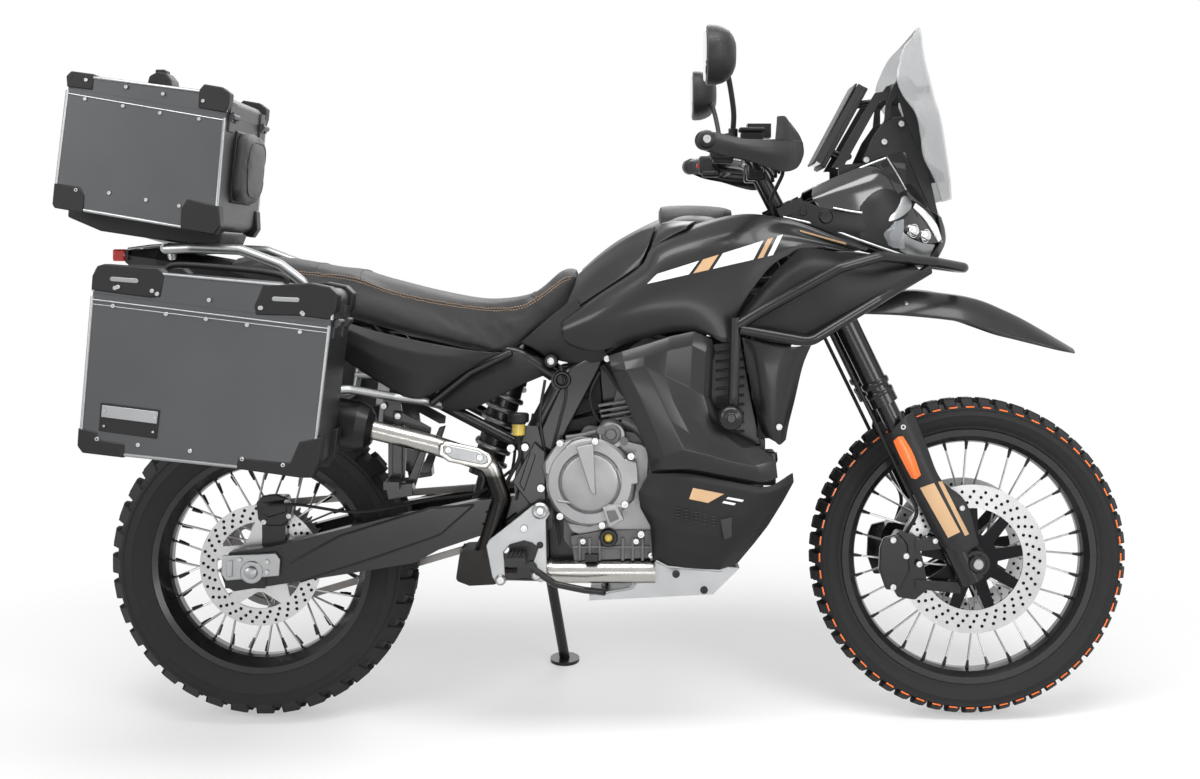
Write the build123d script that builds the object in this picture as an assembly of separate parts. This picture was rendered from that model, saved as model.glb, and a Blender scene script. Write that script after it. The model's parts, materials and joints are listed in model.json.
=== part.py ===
from build123d import *
import math
import os

# Adventure motorcycle with three aluminium cases, parked on its side stand.
# Everything is drawn on the upright bike: X forward from the rear axle, Y to the rider's left,
# Z up from the ground. The last block leans the whole bike on to its stand.

# ---------------------------------------------------------------- driving dimensions, mm and degrees
WHEELBASE = 1530.0
LEAN = 10.0
CROWN = 20.0            # half width of the flat crown of both tyres
RAKE = 26.0
STEER_LOCK = 38.0
FORK_GAP = 105.0        # fork tube centre from the middle plane
FORK_AHEAD = 35.0       # fork tubes ahead of the steering axis, square to it
AXLE_AHEAD = 25.0       # front axle ahead of the fork tubes, square to them

FRONT_R = 345.0
FRONT_RIM_R = 276.0
REAR_R = 333.0
REAR_RIM_R = 241.0
FRONT_LUGS = 56
REAR_LUGS = 36
LUG_STAGGER = 0.14      # pitches that the lugs of one side lead those of the other, halved
SPOKES = 32

FRONT_DISC_R = 160.0
REAR_DISC_R = 130.0
DISC_T = 4.5
FRONT_DISC_Y = 66.25
REAR_DISC_Y = 72.0
AXLE_R = 12.0
FIT = 0.08              # running fit between a shaft and its bore

CHAIN_PITCH = 15.875
REAR_TEETH = 44
FRONT_TEETH = 16
CHAIN_Y = 90.0
OUTPUT_SHAFT = (668.0, 456.0)

TUBE_R = 26.0           # fork outer tube
STEM_R = 15.0
BAR_R = 11.0
CRASH_R = 11.0
RAIL_R = 12.5

CASE_WALL = 2.0
CASE_IN = 275.0         # side case, inner face from the middle plane
CASE_OUT = 500.0
TOP_HALF = 200.0        # top case half width
SEAM = 0.3              # gap between a lid and its case
HINGE_R = 6.5
HINGE_PIN_R = 3.0
HINGE_OUT = 7.2         # hinge pin ahead of the case front
HINGE_LONG = 52.0

PIVOT = (605.0, 461.0)  # swingarm pivot
ARM_IN = 104.0
ARM_OUT = 146.0

STAND_PIVOT = Vector(600, 175, 330)
STAND_FOOT = Vector(640, 290, 52)
STAND_PIN_R = 7.0
STAND_FOLDED = Vector(-0.998, 0.04, 0.03)

# ---------------------------------------------------------------- frames of reference
front_axle = Vector(WHEELBASE, 0, FRONT_R)
rear_axle = Vector(0, 0, REAR_R)
rake = math.radians(RAKE)
lean = math.radians(LEAN)
up_axis = Vector(-math.sin(rake), 0, math.cos(rake))
ahead = Vector(math.cos(rake), 0, math.sin(rake))
steer_foot = front_axle - ahead * (FORK_AHEAD + AXLE_AHEAD)
LIFT = CROWN * math.sin(lean)
W = WHEELBASE           # pieces ahead of the engine are placed back from the front axle
R = REAR_R              # pieces round the rear axle are placed from its height
F = FRONT_R


def on_fork(s, v, y):
    """Point s up the steering axis, v ahead of it and y to the left."""
    return steer_foot + up_axis * s + ahead * v + Vector(0, y, 0)


def ground_z(y):
    """Height of the leaned bike's ground in the upright frame."""
    return (y * math.sin(lean) - LIFT) / math.cos(lean)


# ---------------------------------------------------------------- small tools
def flat(*things):
    """All solids in shapes and nested lists."""
    found = []
    for thing in things:
        if thing is None:
            continue
        if isinstance(thing, (list, tuple)):
            found += flat(*thing)
        else:
            found += list(thing.solids())
    return found


def join(*things):
    parts = flat(*things)
    if len(parts) == 1:
        return parts
    return flat(parts[0].fuse(*parts[1:]))


def cut(base, *tools):
    blades = flat(*tools)
    return [s for part in flat(base) for s in flat(part.cut(*blades))]


def common(base, tool):
    return [s for part in flat(base) for s in flat(part.intersect(tool))]


def flip(*things):
    """The same pieces on the other side of the bike."""
    return [mirror(s, Plane.XZ) for s in flat(*things)]


def both(*things):
    return flat(*things) + flip(*things)


def wire(points):
    return Wire.make_polygon([Vector(*p) for p in points], close=True)


def prism(points, push):
    return Solid.extrude(Face(wire(points)), Vector(*push))


def slab(outline, y_from, y_to):
    """Side outline (x, z) pushed from one y to another."""
    return prism([(x, y_from, z) for x, z in outline], (0, y_to - y_from, 0))


def round_slab(outline, radius, y_from, y_to):
    points = [Vector(x, y_from, z) for x, z in outline]
    edge = FilletPolyline(*points, radius=radius, close=True)
    return Solid.extrude(Face(Wire(edge.edges())), Vector(0, y_to - y_from, 0))


def skin(sections):
    """Ruled body through flat polygons with the same number of corners."""
    return Solid.make_loft([wire(s) for s in sections], ruled=True)


def ribbed(rows):
    """Body along X. Row: x, z_top, y_top, z_shoulder, y_shoulder, z_low, y_low."""
    sections = []
    for x, z1, y1, z2, y2, z3, y3 in rows:
        half = [(x, -y1, z1), (x, -y2, z2), (x, -y3, z3)]
        other = [(x, -y, z) for x, y, z in reversed(half)]
        sections.append(half + other)
    return skin(sections)


def sheet(rows, t):
    """Bent sheet along X. Row: x, z_middle, half_width, z_edge."""
    sections = []
    for x, zc, w, ze in rows:
        top = [(-w, ze), (-0.62 * w, ze + 0.72 * (zc - ze)), (0, zc)]
        top += [(-y, z) for y, z in reversed(top[:2])]
        low = [(y * (1 - t / w), z - t) for y, z in reversed(top)]
        sections.append([(x, y, z) for y, z in top + low])
    return skin(sections)


def rod(start, end, r):
    start, end = Vector(*start), Vector(*end)
    run = end - start
    return Solid.make_cylinder(r, run.length, Plane(origin=start, z_dir=run))


def tube(points, r, bend):
    """Round tube along corner points with one bend radius."""
    path = FilletPolyline(*[Vector(*p) for p in points], radius=bend)
    start = Plane(origin=path @ 0, z_dir=path % 0)
    return flat(sweep(start * Circle(r), path=path))


def lathe(profile, centre, axis=Vector(0, 1, 0)):
    """Closed outline (radius, along) turned about an axis through the centre."""
    side = Vector(1, 0, 0)
    plane = Plane(origin=centre, x_dir=side, z_dir=axis)
    outline = [(r, 0, w) for r, w in profile]
    turned = Solid.revolve(Face(wire(outline)), 360, Axis.Z)
    return turned.moved(plane.location)


def ring(centre, r_out, r_in, y_from, y_to):
    outline = [(r_in, y_from), (r_out, y_from), (r_out, y_to), (r_in, y_to)]
    return lathe(outline, centre)


def spun(point, turn):
    """Point (x, y, z) about a wheel centre, turned by an angle in the wheel plane."""
    x, y, z = point
    c, s = math.cos(turn), math.sin(turn)
    return Vector(x * c + z * s, y, -x * s + z * c)


def block(x0, x1, y0, y1, z0, z1):
    return slab([(x0, z0), (x1, z0), (x1, z1), (x0, z1)], y0, y1)


nodes = {}

# ---------------------------------------------------------------- tyres
def lug(centre, outline, length, turn):
    """Straight block set at an angle round the tyre, its end corners at the section's (radius, y)."""
    points = [centre + spun((-length / 2, y, math.sqrt(r * r - length * length / 4)), turn) for r, y in outline]
    push = spun((length, 0, 0), turn)
    return Solid.extrude(Face(Wire.make_polygon(points, close=True)), push)


def tyre(centre, outline, section, length, count):
    """Carcass of flat faces, one round of them for each lug pitch, with a lug row on each side.
    Outline and section: (radius, y)."""
    corner = 1 / math.cos(math.pi / count)
    rings = []
    for k in range(count):
        turn = math.tau * (k + 0.5) / count
        rings.append([centre + spun((0, y, r * corner), turn) for r, y in outline])
    faces = []
    for k in range(count):
        here, there = rings[k], rings[(k + 1) % count]
        for i in range(len(outline)):
            j = (i + 1) % len(outline)
            faces.append(Face(Wire.make_polygon([here[i], here[j], there[j], there[i]], close=True)))
    lugs = []
    for side in (-1, 1):
        mirrored = [(r, side * y) for r, y in section]
        for k in range(count):
            lugs.append(lug(centre, mirrored, length, math.tau * (k + side * LUG_STAGGER) / count))
    return join(Solid(Shell(faces)), lugs)


def both_sides(half):
    return half + [(r, -w) for r, w in reversed(half)]


# rims: depth below the flange, y
front_rim = [(FRONT_RIM_R - d, y) for d, y in (
    (14, -36), (0, -37), (0, -33), (12, -30), (21, -12), (21, 12), (12, 30), (0, 33), (0, 37), (14, 36), (25, 24),
    (29, 10), (29, -10), (25, -24))]
rear_rim = [(REAR_RIM_R - d, y) for d, y in (
    (17, -58), (0, -62), (0, -57), (11, -53), (27, -24), (27, 24), (11, 53), (0, 57), (0, 62), (17, 58), (33, 26),
    (36, 12), (36, -12), (33, -26))]
front_high = FRONT_R - FRONT_RIM_R
rear_high = REAR_R - REAR_RIM_R
front_carcass = both_sides([(FRONT_RIM_R + 0.3, 36), (FRONT_RIM_R + 0.4 * front_high, 47),
                            (FRONT_R - 0.22 * front_high, 45.5)])
front_lug = [(FRONT_R - 17, 6), (FRONT_R, 6), (FRONT_R, CROWN), (FRONT_R - 0.21 * front_high, 45.4),
             (FRONT_R - 17, 45.4)]
nodes["front_tyre"] = tyre(front_axle, front_carcass, front_lug, 23, FRONT_LUGS)

rear_carcass = both_sides([(REAR_RIM_R + 0.3, 60), (REAR_RIM_R + 0.37 * rear_high, 75),
                           (REAR_R - 0.326 * rear_high, 73), (REAR_R - 15, 52)])
rear_lug = [(REAR_R - 21, 7), (REAR_R, 7), (REAR_R, CROWN), (REAR_R - 12, 62),
            (REAR_R - 0.327 * rear_high, 73.0), (REAR_R - 0.36 * rear_high, 60)]
nodes["rear_tyre"] = tyre(rear_axle, rear_carcass, rear_lug, 36, REAR_LUGS)


# ---------------------------------------------------------------- wheels
def spoked_wheel(centre, rim, hub, hub_r, hub_w, rim_r, spoke_r):
    rim_solid = lathe(rim, centre)
    hub_solid = lathe(hub, centre)
    spokes = []
    for k in range(SPOKES):
        side = 1 if k % 2 else -1
        lead = 0.85 if (k // 2) % 2 else -0.85
        turn = math.tau * k / SPOKES
        inner = centre + spun((0, side * hub_w, hub_r), turn + lead)
        outer = centre + spun((0, side * 6, rim_r), turn)
        run = outer - inner
        hexagon = Plane(origin=inner, z_dir=run) * RegularPolygon(spoke_r, 6)
        spokes.append(extrude(hexagon, run.length, dir=run.normalized()))
    return join(rim_solid, hub_solid, spokes)


bore = AXLE_R + FIT
front_hub = [(bore, -64), (46, -64), (46, -58), (24, -50), (24, -34), (36, -31), (36, -26), (24, -22),
             (24, 22), (36, 26), (36, 31), (24, 34), (24, 50), (46, 58), (46, 64), (bore, 64)]
nodes["front_wheel"] = spoked_wheel(front_axle, front_rim, front_hub, 31, 28.5, FRONT_RIM_R - 26, 2.2)

rear_hub = [(bore, -70), (52, -70), (52, -64), (34, -56), (34, -44), (50, -42), (50, -36), (34, -32),
            (34, 32), (50, 36), (50, 42), (40, 46), (62, 56), (62, 86), (bore, 86)]
nodes["rear_wheel"] = spoked_wheel(rear_axle, rear_rim, rear_hub, 45, 39, REAR_RIM_R - 33, 2.4)


# ---------------------------------------------------------------- brake discs, sprocket, chain
def disc(centre, r_out, band, y_mid, arms, hub_r, plate_y):
    low, high = y_mid - DISC_T / 2, y_mid + DISC_T / 2
    rotor = ring(centre, r_out, r_out - band, low, high)
    star = []
    for k in range(2 * arms):
        r = r_out - band + 4 if k % 2 == 0 else hub_r + 26
        for offset in (-0.10, 0.10):
            star.append(centre + spun((0, low, r), math.tau * k / (2 * arms) + offset))
    carrier = Solid.extrude(Face(Wire.make_polygon(star, close=True)), Vector(0, plate_y, 0))
    eye = ring(centre, hub_r, 0, low - 20, high + 20)
    return join(rotor, cut(carrier, eye))


right_front_disc = disc(front_axle, FRONT_DISC_R, 50, -FRONT_DISC_Y, 9, 30, DISC_T)
nodes["front_discs"] = both(right_front_disc)
nodes["front_discs"] = cut(nodes["front_discs"], nodes["front_wheel"])
nodes["rear_disc"] = cut(disc(rear_axle, REAR_DISC_R, 37, -REAR_DISC_Y, 5, 32, DISC_T), nodes["rear_wheel"])


def gear(centre, teeth, y_from, y_to, hole):
    pitch_r = CHAIN_PITCH / (2 * math.sin(math.pi / teeth))
    points = []
    for k in range(teeth):
        turn = math.tau * k / teeth
        step = math.tau / teeth
        for r, at in ((pitch_r - 5, -0.26), (pitch_r - 5, 0.26), (pitch_r + 4, 0.42), (pitch_r + 4, 0.58)):
            points.append(centre + spun((0, y_from, r), turn + step * at))
    body = Solid.extrude(Face(Wire.make_polygon(points, close=True)), Vector(0, y_to - y_from, 0))
    return cut(body, ring(centre, hole, 0, y_from - 5, y_to + 5))


sprocket = gear(rear_axle, REAR_TEETH, CHAIN_Y - 3.5, CHAIN_Y + 3.5, 42)
windows = [rod(rear_axle + spun((0, 80, 74), math.tau * k / 6), rear_axle + spun((0, 100, 74), math.tau * k / 6), 17)
           for k in range(6)]
nodes["rear_sprocket"] = cut(sprocket, windows)


def belt(r_add):
    """Straight links round both sprockets, corners at the pins, moved out by r_add."""
    big = CHAIN_PITCH / (2 * math.sin(math.pi / REAR_TEETH)) + r_add
    small = CHAIN_PITCH / (2 * math.sin(math.pi / FRONT_TEETH)) + r_add
    dx, dz = OUTPUT_SHAFT[0], OUTPUT_SHAFT[1] - REAR_R
    slope, spread = math.atan2(dz, dx), math.asin((big - small) / math.hypot(dx, dz))
    rounds = [((0, REAR_R), big, math.pi / 2 + slope - spread, math.tau - math.pi + 2 * spread, REAR_TEETH),
              (OUTPUT_SHAFT, small, -math.pi / 2 + slope + spread, math.pi - 2 * spread, FRONT_TEETH)]
    points = []
    for (cx, cz), r, start, sweep_by, teeth in rounds:
        links = round(sweep_by / math.tau * teeth)
        for k in range(links + 1):
            angle = start + sweep_by * k / links
            points.append(Vector(cx + r * math.cos(angle), 0, cz + r * math.sin(angle)))
    return Wire.make_polygon(points, close=True)


def strap(y_from, y_to, grow, shrink):
    outer = Solid.extrude(Face(belt(grow)), Vector(0, y_to - y_from, 0)).moved(Location((0, y_from, 0)))
    inner = Solid.extrude(Face(belt(-shrink)), Vector(0, y_to - y_from, 0)).moved(Location((0, y_from, 0)))
    return cut(outer, inner)


rollers = common(strap(CHAIN_Y - 4.5, CHAIN_Y + 4.5, 4.5, 4.5), block(130, 610, CHAIN_Y - 9, CHAIN_Y + 9, 200, 520))
nodes["chain"] = join(strap(CHAIN_Y - 8, CHAIN_Y - 4.5, 7, 7), strap(CHAIN_Y + 4.5, CHAIN_Y + 8, 7, 7), rollers)

# ---------------------------------------------------------------- steering: clamps, fork, guards
def fork_plate(s_from, s_to, outline):
    """Plate square to the steering axis, outline (v, y)."""
    points = [on_fork(s_from, v, y) for v, y in outline]
    return Solid.extrude(Face(Wire.make_polygon(points, close=True)), up_axis * (s_to - s_from))


LOW_CLAMP = (618.0, 654.0)
TOP_CLAMP = (838.0, 862.0)
clamp_outline = [(-28, -30), (-28, 30), (6, 78), (6, 140), (64, 140), (70, 78), (44, 30), (44, -30),
                 (70, -78), (64, -140), (6, -140), (6, -78)]
stem = rod(on_fork(LOW_CLAMP[0], 0, 0), on_fork(TOP_CLAMP[1] + 6, 0, 0), STEM_R)
fork_tubes = []
axle_lugs = []
for side in (-1, 1):
    y = side * FORK_GAP
    fork_tubes.append(rod(on_fork(395, FORK_AHEAD, y), on_fork(TOP_CLAMP[1] + 4, FORK_AHEAD, y), TUBE_R))
    fork_tubes.append(rod(on_fork(388, FORK_AHEAD, y), on_fork(410, FORK_AHEAD, y), TUBE_R + 4))
    fork_tubes.append(rod(on_fork(90, FORK_AHEAD, y), on_fork(396, FORK_AHEAD, y), 21.5))
    fork_tubes.append(rod(on_fork(-34, FORK_AHEAD, y), on_fork(110, FORK_AHEAD, y), 27))
    fork_tubes.append(rod(Vector(WHEELBASE, y - side * 24, FRONT_R), Vector(WHEELBASE, y + side * 22, FRONT_R), 27))
    inner_end = side * 64.5
    fork_tubes.append(rod(Vector(WHEELBASE, inner_end, FRONT_R), Vector(WHEELBASE, y, FRONT_R), 17))
axle = rod(Vector(WHEELBASE, -FORK_GAP, FRONT_R), Vector(WHEELBASE, FORK_GAP, FRONT_R), AXLE_R)
axle_bore = rod(Vector(WHEELBASE, -160, FRONT_R), Vector(WHEELBASE, 160, FRONT_R), 8)
nodes["fork_legs"] = cut(join(fork_tubes, axle), axle_bore)

risers = []
for y in (-45, 45):
    risers.append(rod(on_fork(TOP_CLAMP[1] - 2, 18, y), Vector(W - 462, y, 1190), 15))
clamps = join(fork_plate(*LOW_CLAMP, clamp_outline), fork_plate(*TOP_CLAMP, clamp_outline), stem, risers)
nodes["triple_clamps"] = cut(clamps, nodes["fork_legs"])

# guard outline in s up the fork and v ahead of it
guard_side = [(25, 70), (120, 74), (240, 70), (330, 62), (380, 40), (330, 8), (260, 4), (170, 12),
              (90, 6), (30, 22)]
guards = []
for side in (-1, 1):
    y_out = side * (FORK_GAP + 36)
    y_in = side * (FORK_GAP + 30)
    points = [on_fork(s, v, y_in) for s, v in guard_side]
    plate = Solid.extrude(Face(Wire.make_polygon(points, close=True)), Vector(0, y_out - y_in, 0))
    front = [on_fork(s, v, y_out) for s, v in ((25, 64), (25, 70), (240, 70), (330, 62), (330, 56), (240, 64))]
    nose = Solid.extrude(Face(Wire.make_polygon(front, close=True)), Vector(0, -side * 62, 0))
    lower_mount = rod(on_fork(50, FORK_AHEAD, side * (FORK_GAP + 20)), on_fork(50, FORK_AHEAD, y_out), 9)
    upper_mount = rod(on_fork(300, FORK_AHEAD, side * (FORK_GAP + 18)), on_fork(300, FORK_AHEAD, y_out), 9)
    guards += join(plate, nose, lower_mount, upper_mount)
nodes["fork_guards"] = cut(guards, nodes["fork_legs"])

# fender: x, z_middle, half_width, z_edge
fender_rows = [(W + x, F + top, half, F + edge) for x, top, half, edge in (
    (-236, 551, 52, 527), (-170, 569, 66, 525), (-116, 576, 70, 521), (-57, 569, 71, 515), (-13, 563, 71, 508),
    (31, 552, 71, 493), (74, 534, 70, 478), (118, 513, 68, 467), (162, 488, 66, 456), (206, 462, 60, 445),
    (236, 444, 44, 433))]
fender_stay = slab([(W - 294, F + 527), (W - 130, F + 527), (W - 130, F + 541), (W - 240, F + 555),
                    (W - 268, F + 563), (W - 294, F + 563)], -40, 40)
nodes["front_fender"] = cut(join(sheet(fender_rows, 4), fender_stay), nodes["triple_clamps"])

# handlebar
bar_points = [(W - 590, -460, 1218), (W - 530, -300, 1222), (W - 478, -165, 1206), (W - 462, -85, 1190),
              (W - 462, 85, 1190), (W - 478, 165, 1206), (W - 530, 300, 1222), (W - 590, 460, 1218)]
bar = tube(bar_points, BAR_R, 40)
grips = []
for side in (-1, 1):
    grips.append(rod((W - 587, side * 452, 1218.2), (W - 542, side * 332, 1221.2), 17))
    grips.append(rod((W - 592, side * 466, 1218), (W - 587, side * 452, 1218.2), 19))
    grips.append(rod((W - 540, side * 328, 1221.4), (W - 522, side * 279, 1219), 21))
    lever = [(W - 490, side * 262, 1222), (W - 464, side * 282, 1220), (W - 494, side * 372, 1217), (W - 527, side * 448, 1216)]
    grips.append(tube(lever, 5, 12))
    grips.append(rod((W - 524, side * 284, 1220), (W - 478, side * 268, 1222), 13))
reservoir = block(W - 496, W - 448, -275, -228, 1238, 1266)
reservoir_neck = rod((W - 480, -262, 1222), (W - 474, -258, 1240), 9)
nodes["handlebar"] = cut(join(bar, grips, reservoir, reservoir_neck), nodes["triple_clamps"])

# handguards: plan outline (x, y) for the right, then trimmed to the side outline
guard_plan = [(W - 586, 480), (W - 490, 484), (W - 412, 420), (W - 384, 320), (W - 392, 262), (W - 398, 264), (W - 391, 320),
              (W - 418, 414), (W - 494, 477), (W - 586, 472)]
guard_view = [(W - 594, 1196), (W - 546, 1187), (W - 502, 1180), (W - 388, 1176), (W - 380, 1178), (W - 380, 1220), (W - 440, 1277),
              (W - 521, 1225), (W - 594, 1226)]
right_guard = prism([(x, -y, 1160) for x, y in guard_plan], (0, 0, 130))
right_guard = common(right_guard, slab(guard_view, -500, -200))
inner_stay = rod((W - 520, -276, 1219), (W - 395, -268, 1212), 7)
outer_stay = rod((W - 591, -462, 1218), (W - 586, -478, 1217), 8)
nodes["handguards"] = cut(both(join(right_guard, inner_stay, outer_stay)), nodes["handlebar"])

# mirrors: housing sections (x, scale) and a round stem
mirror_face = [(-74, -40), (-88, 0), (-76, 46), (-20, 57), (50, 52), (84, 22), (80, -26), (30, -56), (-30, -56)]
mirror_steps = [(W - 586, 1.0), (W - 568, 1.0), (W - 544, 0.86), (W - 531, 0.5)]
housing = skin([[(x, -420 - y * k, 1388 + z * k) for y, z in mirror_face] for x, k in mirror_steps])
mirror_stem = tube([(W - 527, -300, 1236), (W - 527, -318, 1290), (W - 540, -352, 1356), (W - 558, -400, 1386)], 5.5, 25)
mirror_foot = rod((W - 527, -300, 1226), (W - 527, -300, 1244), 10)
nodes["mirrors"] = cut(both(join(housing, mirror_stem, mirror_foot)), nodes["handlebar"])

# front calipers: radial bodies behind each fork leg, slotted over the disc
disc_room = [ring(front_axle, FRONT_DISC_R + 4, 0, side * FRONT_DISC_Y - 5, side * FRONT_DISC_Y + 5)
             for side in (-1, 1)]
wheel_room = ring(front_axle, FRONT_DISC_R + 8, 0, -49, 49)
caliper_view = [(W - 178, F - 45), (W - 164, F - 77), (W - 126, F - 83), (W - 98, F - 59), (W - 110, F + 5),
                (W - 126, F + 57), (W - 164, F + 63), (W - 180, F + 35)]
caliper = round_slab(caliper_view, 8, -52, -92)
caliper_lug = slab([(W - 126, F - 59), (W - 30, F - 69), (W - 30, F - 45), (W - 126, F - 39)], -84, -98)
caliper_lug2 = slab([(W - 126, F + 21), (W - 52, F + 29), (W - 52, F + 53), (W - 126, F + 47)], -84, -98)
nodes["front_calipers"] = cut(both(join(caliper, caliper_lug, caliper_lug2)), disc_room, wheel_room,
                              nodes["fork_legs"])

# brake hoses: master cylinder down to each caliper
hose_r = 4.0
hose_v = -2.0           # behind the fork tubes and clear of both clamps
drop = [on_fork(s, hose_v, FORK_GAP + 7) for s in (880, 150)]
hose_end = Vector(W - 144, 80, F + 57)
right_hose = tube([(W - 470, -264, 1222), (W - 418, -248, 1206), (W - 416, -165, 1166), Vector(drop[0].X, -drop[0].Y, drop[0].Z),
                   Vector(drop[1].X, -drop[1].Y, drop[1].Z), Vector(hose_end.X, -hose_end.Y, hose_end.Z)],
                  hose_r, 40)
left_hose = tube([on_fork(617, hose_v, FORK_GAP + 7), drop[1], hose_end], hose_r, 40)
nodes["brake_hoses"] = flat(right_hose, left_hose)

# ---------------------------------------------------------------- frame
head = cut(rod(on_fork(660, 0, 0), on_fork(832, 0, 0), 31), rod(on_fork(640, 0, 0), on_fork(850, 0, 0), STEM_R + FIT))
spars = []
for side in (-1, 1):
    spars += tube([on_fork(700, -28, side * 6), (W - 570, side * 112, 925), (650, side * 125, 734),
                   (582, side * 128, 607)], 19, 30)
    spars += tube([on_fork(790, -28, side * 6), (W - 600, side * 108, 990), (800, side * 118, 850)], 14, 30)
    spars += [rod((975, side * 110, 930), (905, side * 112, 715), 15)]
    spars += [rod((650, side * 106, 734), (650, side * 146, 734), 22)]
    spars += [slab([(570, 640), (600, 640), (612, 590), (612, 520), (630, 470), (632, 430), (600, 400),
                    (562, 430), (550, 520)],
                   side * 148, side * 160)]
    spars += [rod((588, side * 120, 612), (588, side * 160, 612), 16)]
stand_bracket = slab([(575, 440), (632, 440), (628, 318), (580, 318)], 148, 156)
pivot_rod = rod((PIVOT[0], -166, PIVOT[1]), (PIVOT[0], 166, PIVOT[1]), 11)
stand_run = STAND_FOOT - STAND_PIVOT
stand_axis = stand_run.normalized().cross(STAND_FOLDED.normalized()).normalized()
stand_pin = rod(STAND_PIVOT - stand_axis * 24, STAND_PIVOT + stand_axis * 14, STAND_PIN_R)
nodes["main_frame"] = join(head, spars, stand_bracket, pivot_rod, stand_pin)

subframe = []
for side in (-1, 1):
    subframe += tube([(632, side * 118, 742), (560, side * 118, 790), (300, side * 112, 846),
                      (-240, side * 96, 925)], RAIL_R, 60)
    subframe += tube([(575, side * 118, 588), (380, side * 118, 690), (250, side * 112, 850)], RAIL_R, 60)
cross_ties = [rod((x, -105, z), (x, 105, z), 9) for x, z in ((548, 792), (180, 864), (-120, 907))]
nodes["subframe"] = join(subframe, cross_ties)

# ---------------------------------------------------------------- engine
crank_view = [(655, 400), (690, 357), (905, 357), (945, 400), (950, 520), (900, 610), (700, 640), (655, 560)]
crankcase = round_slab(crank_view, 18, -150, 150)
block_view = [(735, 600), (930, 560), (978, 690), (955, 800), (800, 830)]
cylinders = round_slab(block_view, 14, -128, 128)
cylinder_fins = []
sprocket_bay = block(600, 726, 76, 151, 396, 506)
shaft_end = (OUTPUT_SHAFT[0], OUTPUT_SHAFT[1])
output_shaft = rod((shaft_end[0], 70, shaft_end[1]), (shaft_end[0], 100, shaft_end[1]), 12)
small_sprocket = ring(Vector(shaft_end[0], 0, shaft_end[1]), 33, 10, CHAIN_Y - 3.5, CHAIN_Y + 3.5)
nodes["engine"] = join(cut(join(crankcase, cylinders), sprocket_bay), output_shaft, small_sprocket)
clutch = lathe([(0, -150), (84, -150), (82, -176), (72, -190), (62, -192), (60, -186), (0, -186)],
               Vector(707, 0, 534))
pump = rod((757, -150, 622), (757, -186, 622), 26)
filler = rod((759, -150, 453), (759, -184, 453), 20)
sight = rod((751, -150, 409), (751, -172, 409), 18)
cover_plate = round_slab([(650, 470), (672, 420), (790, 380), (880, 420), (890, 540), (820, 600), (690, 630)],
                         20, -150, -166)
generator = lathe([(0, 150), (96, 150), (92, 182), (70, 196), (0, 196)], Vector(840, 0, 470))
sprocket_cover = round_slab([(642, 400), (715, 392), (730, 470), (700, 520), (640, 510)], 14, 150, 164)
nodes["engine_covers"] = join(clutch, pump, filler, sight, cover_plate) + join(generator, sprocket_cover)
nodes["engine_covers"] = join(nodes["engine_covers"])

# ---------------------------------------------------------------- exhaust
header = tube([(950, -62, 700), (1006, -62, 650), (1006, -100, 400), (965, -136, 330), (700, -140, 330),
               (500, -140, 345)], 22, 55)
header2 = tube([(950, 62, 700), (1006, 62, 650), (1006, 30, 400), (950, -60, 330), (700, -92, 330),
                (500, -100, 345)], 20, 55)
collector = round_slab([(431, 320), (460, 309), (518, 312), (524, 372), (500, 384), (440, 380)], 10, -60, -188)
riser = tube([(490, -168, 366), (526, -168, 490), (500, -172, 562), (384, -190, 604), (252, -200, 638)], 20.5, 36)
nodes["exhaust_pipe"] = join(header, header2, collector, riser)
MUFFLER_R = 53.5
muffler_front = Vector(262, -200, 636)
muffler_axis = Vector(-0.985, 0, 0.17)
nodes["muffler"] = [lathe([(0, 0), (30, 0), (46, 12), (MUFFLER_R, 34), (MUFFLER_R, 262), (44, 300), (26, 306),
                           (26, 240), (0, 240)], muffler_front, muffler_axis.normalized())]

# ---------------------------------------------------------------- radiator
core = block(W - 462, W - 436, -150, 150, 625, 850)
tanks = [block(W - 468, W - 432, s * 150, s * 172, 615, 858) for s in (-1, 1)]
rad_stays = [rod((W - 592, s * 112, 814), (W - 460, s * 112, 800), 7) for s in (-1, 1)]
nodes["radiator"] = join(core, tanks, rad_stays)

# ---------------------------------------------------------------- tank and body panels
# x, z_top, y_top, z_shoulder, y_shoulder, z_low, y_low
tank_rows = [(686, 967, 40, 950, 92, 885, 100), (728, 1004, 55, 975, 122, 860, 140),
             (772, 1037, 68, 1000, 146, 850, 160), (842, 1072, 80, 1030, 162, 850, 175),
             (904, 1105, 85, 1050, 168, 850, 180), (W - 548, 1101, 80, 1048, 158, 865, 160),
             (W - 514, 1096, 50, 1050, 88, 900, 88)]
nodes["fuel_tank"] = [ribbed(tank_rows)]

# outer skin of both flanks, same columns
flank_rows = [(570, 900, 100, 830, 142, 770, 142), (650, 980, 110, 870, 160, 760, 168),
              (816, 1060, 150, 900, 196, 750, 205), (943, 1110, 165, 930, 214, 750, 215),
              (W - 430, 1110, 165, 960, 232, 780, 228), (W - 268, 1070, 162, 975, 216, 800, 200),
              (W - 140, 1030, 122, 975, 150, 820, 150)]


def flank_shell(t_out, t_in, view):
    """Skin between two depths under the flank surface, trimmed to a side outline."""
    outer = ribbed([(x, z1, y1 - t_out, z2, y2 - t_out, z3, y3 - t_out) for x, z1, y1, z2, y2, z3, y3 in flank_rows])
    inner = ribbed([(x, z1 + 50, y1 - t_in, z2, y2 - t_in, z3 - 50, y3 - t_in)
                    for x, z1, y1, z2, y2, z3, y3 in flank_rows])
    long_inner = inner
    trimmed = common(outer, slab(view, -300, 300))
    return cut(trimmed, long_inner)


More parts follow.
